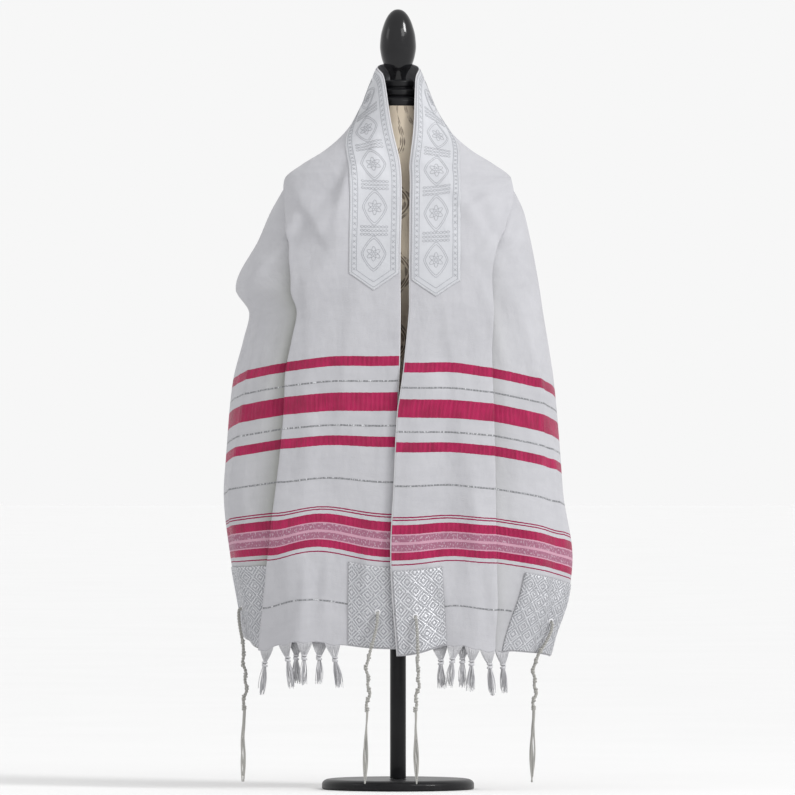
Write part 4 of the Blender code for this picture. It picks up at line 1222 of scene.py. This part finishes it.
def buildCord(side, edge, sway, drift):
    # Two plies wind round the route half a turn apart; knots are short coils; four loose
    # strands hang from the last knot and meet in pairs.
    steps = 190
    route, away = cordRoute(side, edge, sway, drift, steps)
    tangent = unit(np.gradient(route, axis=0))
    first = unit(np.cross(tangent, away))
    second = np.cross(tangent, first)
    length = np.concatenate([[0], np.cumsum(np.linalg.norm(np.diff(route, axis=0), axis=1))])
    angle = 2 * np.pi * length / cord["twist"]
    plies = []
    for half in (0, np.pi):
        ring = first * np.cos(angle + half)[:, None] + second * np.sin(angle + half)[:, None]
        ply = route + ring * cord["offset"]
        ply[:4] -= away * np.array([3.0, 2.0, 1.0, 0.35])[:, None] * mm
        plies.append(ply)
    name = f"{side}_{edge}"
    plied = tubeBundle(f"cordPlies_{name}", plies, cord["radius"], finishes["cord"], sides=6,
                       reference=away)

    def coil(centre, radius, rise, wobble):
        # A helix of two turns and a bit that goes down past its centre.
        turns = np.linspace(0, 2 * np.pi * 2.2, 48)
        around = first[0] * np.cos(turns)[:, None] + away * np.sin(turns)[:, None]
        made = centre + around * radius * mm
        made[:, 2] += (np.linspace(rise, -rise, 48) + wobble * np.sin(turns * 0.5)) * mm
        return made
    end = route[-1]
    coils = [coil(route[int(place * (steps - 1))], 2.0, 2.6, 0.9) for place in cord["knots"]]
    coils.append(coil(end, 2.3, 3.0, 0.0))
    knots = tubeBundle(f"cordKnots_{name}", coils, cord["radius"] * 0.95, finishes["cord"], sides=6)
    part = np.linspace(0, 1, 60)
    loose = []
    for item in range(4):
        uneven = 0.8 + 0.4 * np.sin(item * 2.1)
        bow = (item - 1.5) * 1.5 * mm * np.sin(part * np.pi * 0.9) ** 0.8 * uneven
        deep = (1.2 if item % 2 else -1.2) * mm * np.sin(part * np.pi * 1.2 + 0.3)
        drift = sway * 3.0 * mm * part + 1.1 * mm * np.sin(part * 7 + item)
        strand = end + np.array([1.0, 0, 0]) * (bow + drift)[:, None] + away * deep[:, None]
        strand[:, 2] = end[2] - part * (cord["loose"] - (2 + 4 * (item % 3)) * mm)
        loose.append(strand)
    tails = tubeBundle(f"cordTails_{name}", loose, cord["strand"] * np.linspace(1.05, 0.8, 60),
                       finishes["cord"], sides=6, reference=away)
    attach(plied, "root")
    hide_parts(f"corner_cord_{name}")
    for item in (knots, tails):
        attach(item, "root")
    return [plied, knots, tails]


torso = {
    "rows": table(
        (424, 92, 70, 66), (438, 112, 86, 80), (500, 126, 96, 86), (560, 118, 90, 78),
        (625, 102, 82, 66), (690, 118, 104, 72), (735, 132, 118, 76), (780, 137, 108, 76),
        (820, 140, 93, 72)),
    "top": 942 * mm, "inset": 14.8 * mm, "sides": 96, "levels": 120, "girth": 110 * mm,
    "endShares": (0.92, 0.6, 0.25, 0.02),
}


def buildTorso():
    # Rings from the table below the shoulders; above them the cloth's rings moved inward
    # square to their slope. Ever smaller rings close both ends flat.
    rows = torso["rows"]
    knots = rows[:, 0] * mm
    height = np.linspace(knots[0], torso["top"], torso["levels"])
    rise = 1 * mm
    low = height <= knots[-1]
    sizes = []
    for column, name in ((1, "left"), (2, "front"), (3, "back")):
        below = throughKnots(knots, rows[:, column], np.minimum(height, knots[-1])) * mm
        slope = (ringSize(name, height + rise) - ringSize(name, height - rise)) / 2
        above = (ringSize(name, height) - torso["inset"] / mm * np.sqrt(1 + slope ** 2)) * mm
        sizes.append(np.where(low, below, above)[:, None])
    side, front, back = sizes
    angle = np.linspace(0, 2 * np.pi, torso["sides"], endpoint=False)[None]
    across = np.sin(angle) * side
    deep = -np.cos(angle) * np.where(np.cos(angle) > 0, front, back)
    grid = np.stack([across, deep, np.broadcast_to(height[:, None], across.shape)], -1)
    shrink = np.array([(share, share, 1) for share in torso["endShares"]])[:, None]
    grid = np.concatenate([grid[:1] * shrink[::-1], grid, grid[-1:] * shrink])
    girth = 2 * np.pi * torso["girth"]
    made = roundPiece("formTorso", grid, girth, grid[:, 0, 2], finishes["linen"])
    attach(made, "root")
    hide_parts("form_torso")
    return made


def turnedPiece(name, profile, look, node, sides=72, finer=6):
    # A profile of radius and height spun round the stand's axis: x = r cos, y = r sin. Between
    # the profile's points the radius follows a cubic along its length.
    profile = np.array(profile, float) * mm
    length = np.concatenate([[0], np.cumsum(np.linalg.norm(np.diff(profile, axis=0), axis=1))])
    at = np.unique(np.concatenate([np.linspace(a, b, finer, endpoint=False)
                                   for a, b in zip(length[:-1], length[1:])] + [length[-1:]]))
    radius = np.maximum(throughKnots(length, profile[:, 0], at), 0.0004)
    height = throughKnots(length, profile[:, 1], at)
    angle = np.linspace(0, 2 * np.pi, sides, endpoint=False)
    grid = np.stack([radius[:, None] * np.cos(angle), radius[:, None] * np.sin(angle),
                     np.broadcast_to(height[:, None], (len(at), sides))], -1)
    made = roundPiece(name, grid, 1.0, at, look)
    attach(made, "root")
    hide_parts(node)
    return made


stand = {
    "finial": ((0.4, 1076), (4, 1075.4), (8, 1073.4), (14, 1067), (20, 1054), (24, 1038), (25, 1024),
               (23, 1010), (18.5, 997), (13, 988), (11, 981), (11, 978.3), (0.4, 978.3)),
    "cap": ((0.4, 978), (18, 978), (21, 977), (22, 975), (22, 970), (21, 968.5), (20.2, 967.2),
            (21.5, 966.2), (24.5, 965), (27, 963), (27, 958), (26, 956.6), (25.2, 955.6), (27, 954.6),
            (30, 953.3), (33, 951), (34, 948), (34, 944), (33, 942.3), (0.4, 942.3)),
    "base": ((0.4, 14), (60, 14), (93, 14), (98, 13.4), (101.5, 12), (104, 9.6), (105, 7), (105, 1.5),
             (104, 0.1), (0.4, 0.1)),
    "pole": ((0.4, 423.7), (10.4, 423.7), (11, 423), (11, 15), (10.4, 14.3), (0.4, 14.3)),
}


def buildCamera():
    # Level and far off, so that a millimetre is the same at the shawl's front and sides.
    settings = {"distance": 15.0, "height": 540 * mm, "across": -0.7 * mm, "plane": -0.06,
                "frameWidth": 1093 * mm, "sensor": 36.0}
    data = bpy.data.cameras.new("camera")
    data.sensor_width = settings["sensor"]
    data.lens = settings["sensor"] * settings["distance"] / settings["frameWidth"]
    made = bpy.data.objects.new("camera", data)
    made.location = (settings["across"], settings["plane"] - settings["distance"], settings["height"])
    made.rotation_euler = (np.pi / 2, 0, 0)
    bpy.context.scene.collection.objects.link(made)
    bpy.context.scene.camera = made


lights = {
    "panels": (("keyPanel", (1.3, -1.9, 2.1), 9), ("rimPanel", (-2.4, -0.6, 1.9), 3)),
    "panelSize": 0.8, "aim": (0, 0, 0.55), "sun": 1.6, "sunSpread": 14, "sunTurn": (58, 0, 56),
    "sky": 0.93,
}


def buildLights():
    # A soft sun from the right, two small panels and a pale sky.
    for name, place, power in lights["panels"]:
        light = bpy.data.lights.new(name, "AREA")
        light.size = lights["panelSize"]
        light.energy = power
        made = bpy.data.objects.new(name, light)
        made.location = place
        aim = np.array(lights["aim"]) - np.array(place)
        flatRun = np.hypot(aim[0], aim[1])
        made.rotation_euler = (np.pi / 2 + np.arctan2(aim[2], flatRun), 0,
                               np.arctan2(aim[1], aim[0]) - np.pi / 2)
        bpy.context.scene.collection.objects.link(made)
    sunlight = bpy.data.lights.new("softSun", "SUN")
    sunlight.energy = lights["sun"]
    sunlight.angle = np.radians(lights["sunSpread"])
    sun = bpy.data.objects.new("softSun", sunlight)
    sun.rotation_euler = np.radians(lights["sunTurn"])
    bpy.context.scene.collection.objects.link(sun)
    sky = bpy.data.worlds.new("paleSky")
    sky.use_nodes = True
    lit = sky.node_tree.nodes["Background"]
    lit.inputs["Color"].default_value = (1, 1, 1, 1)
    lit.inputs["Strength"].default_value = lights["sky"]
    bpy.context.scene.world = sky
    bpy.context.scene.view_settings.view_transform = "Standard"


def buildFloor():
    # A round floor far wider than the stand: x = r cos, y = r sin, just under the base.
    radius, angle = np.meshgrid(np.linspace(20 * mm, 40.0, 3), np.linspace(0, 2 * np.pi, 65),
                                indexing="ij")
    points = np.stack([radius * np.cos(angle), radius * np.sin(angle), radius * 0 - 0.4 * mm], -1)
    quads = gridQuads(*radius.shape)[:, ::-1]
    made = newMesh("floor", points.reshape(-1, 3), quads,
                   points[..., :2].reshape(-1, 2)[quads.ravel()], finishes["floor"])
    work = bmesh.new()
    work.from_mesh(made.data)
    bmesh.ops.remove_doubles(work, verts=work.verts, dist=0.1 * mm)
    work.to_mesh(made.data)
    work.free()


buildCamera()
buildLights()
buildFloor()
print("camera, lights and floor made")

cloth = buildShawl()
print("shawl draped:", len(cloth.data.polygons), "faces")
bandCloth = buildBand()
bandTrim = bandBorder() + bandMotifs()
print("neckband made")
trims = {}
for side in ("left", "right"):
    for edge in ("inner", "outer"):
        made = buildPatch(side, edge)
        trims[made.name] = patchThreads(side, edge)
print("corner patches made")
stitching = buildStitching()
for piece in bandTrim + stitching + [item for group in trims.values() for item in group]:
    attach(piece, "root")
print("embroidery and stitching made")
hanging = []
for side in ("left", "right"):
    for letter, row in zip("abcdef", tassels[side]):
        hanging += buildTassel(side, letter, *row)
for route in cords:
    hanging += buildCord(*route)
print("fringe and corner cords made")
buildTorso()
turnedPiece("formFinial", stand["finial"], finishes["finial"], "form_finial")
turnedPiece("formNeckCap", stand["cap"], finishes["cap"], "form_neck_cap", finer=4)
turnedPiece("formPole", stand["pole"], finishes["stand"], "form_pole", sides=48)
turnedPiece("formBase", stand["base"], finishes["stand"], "form_base", sides=120)
print("dress form made")
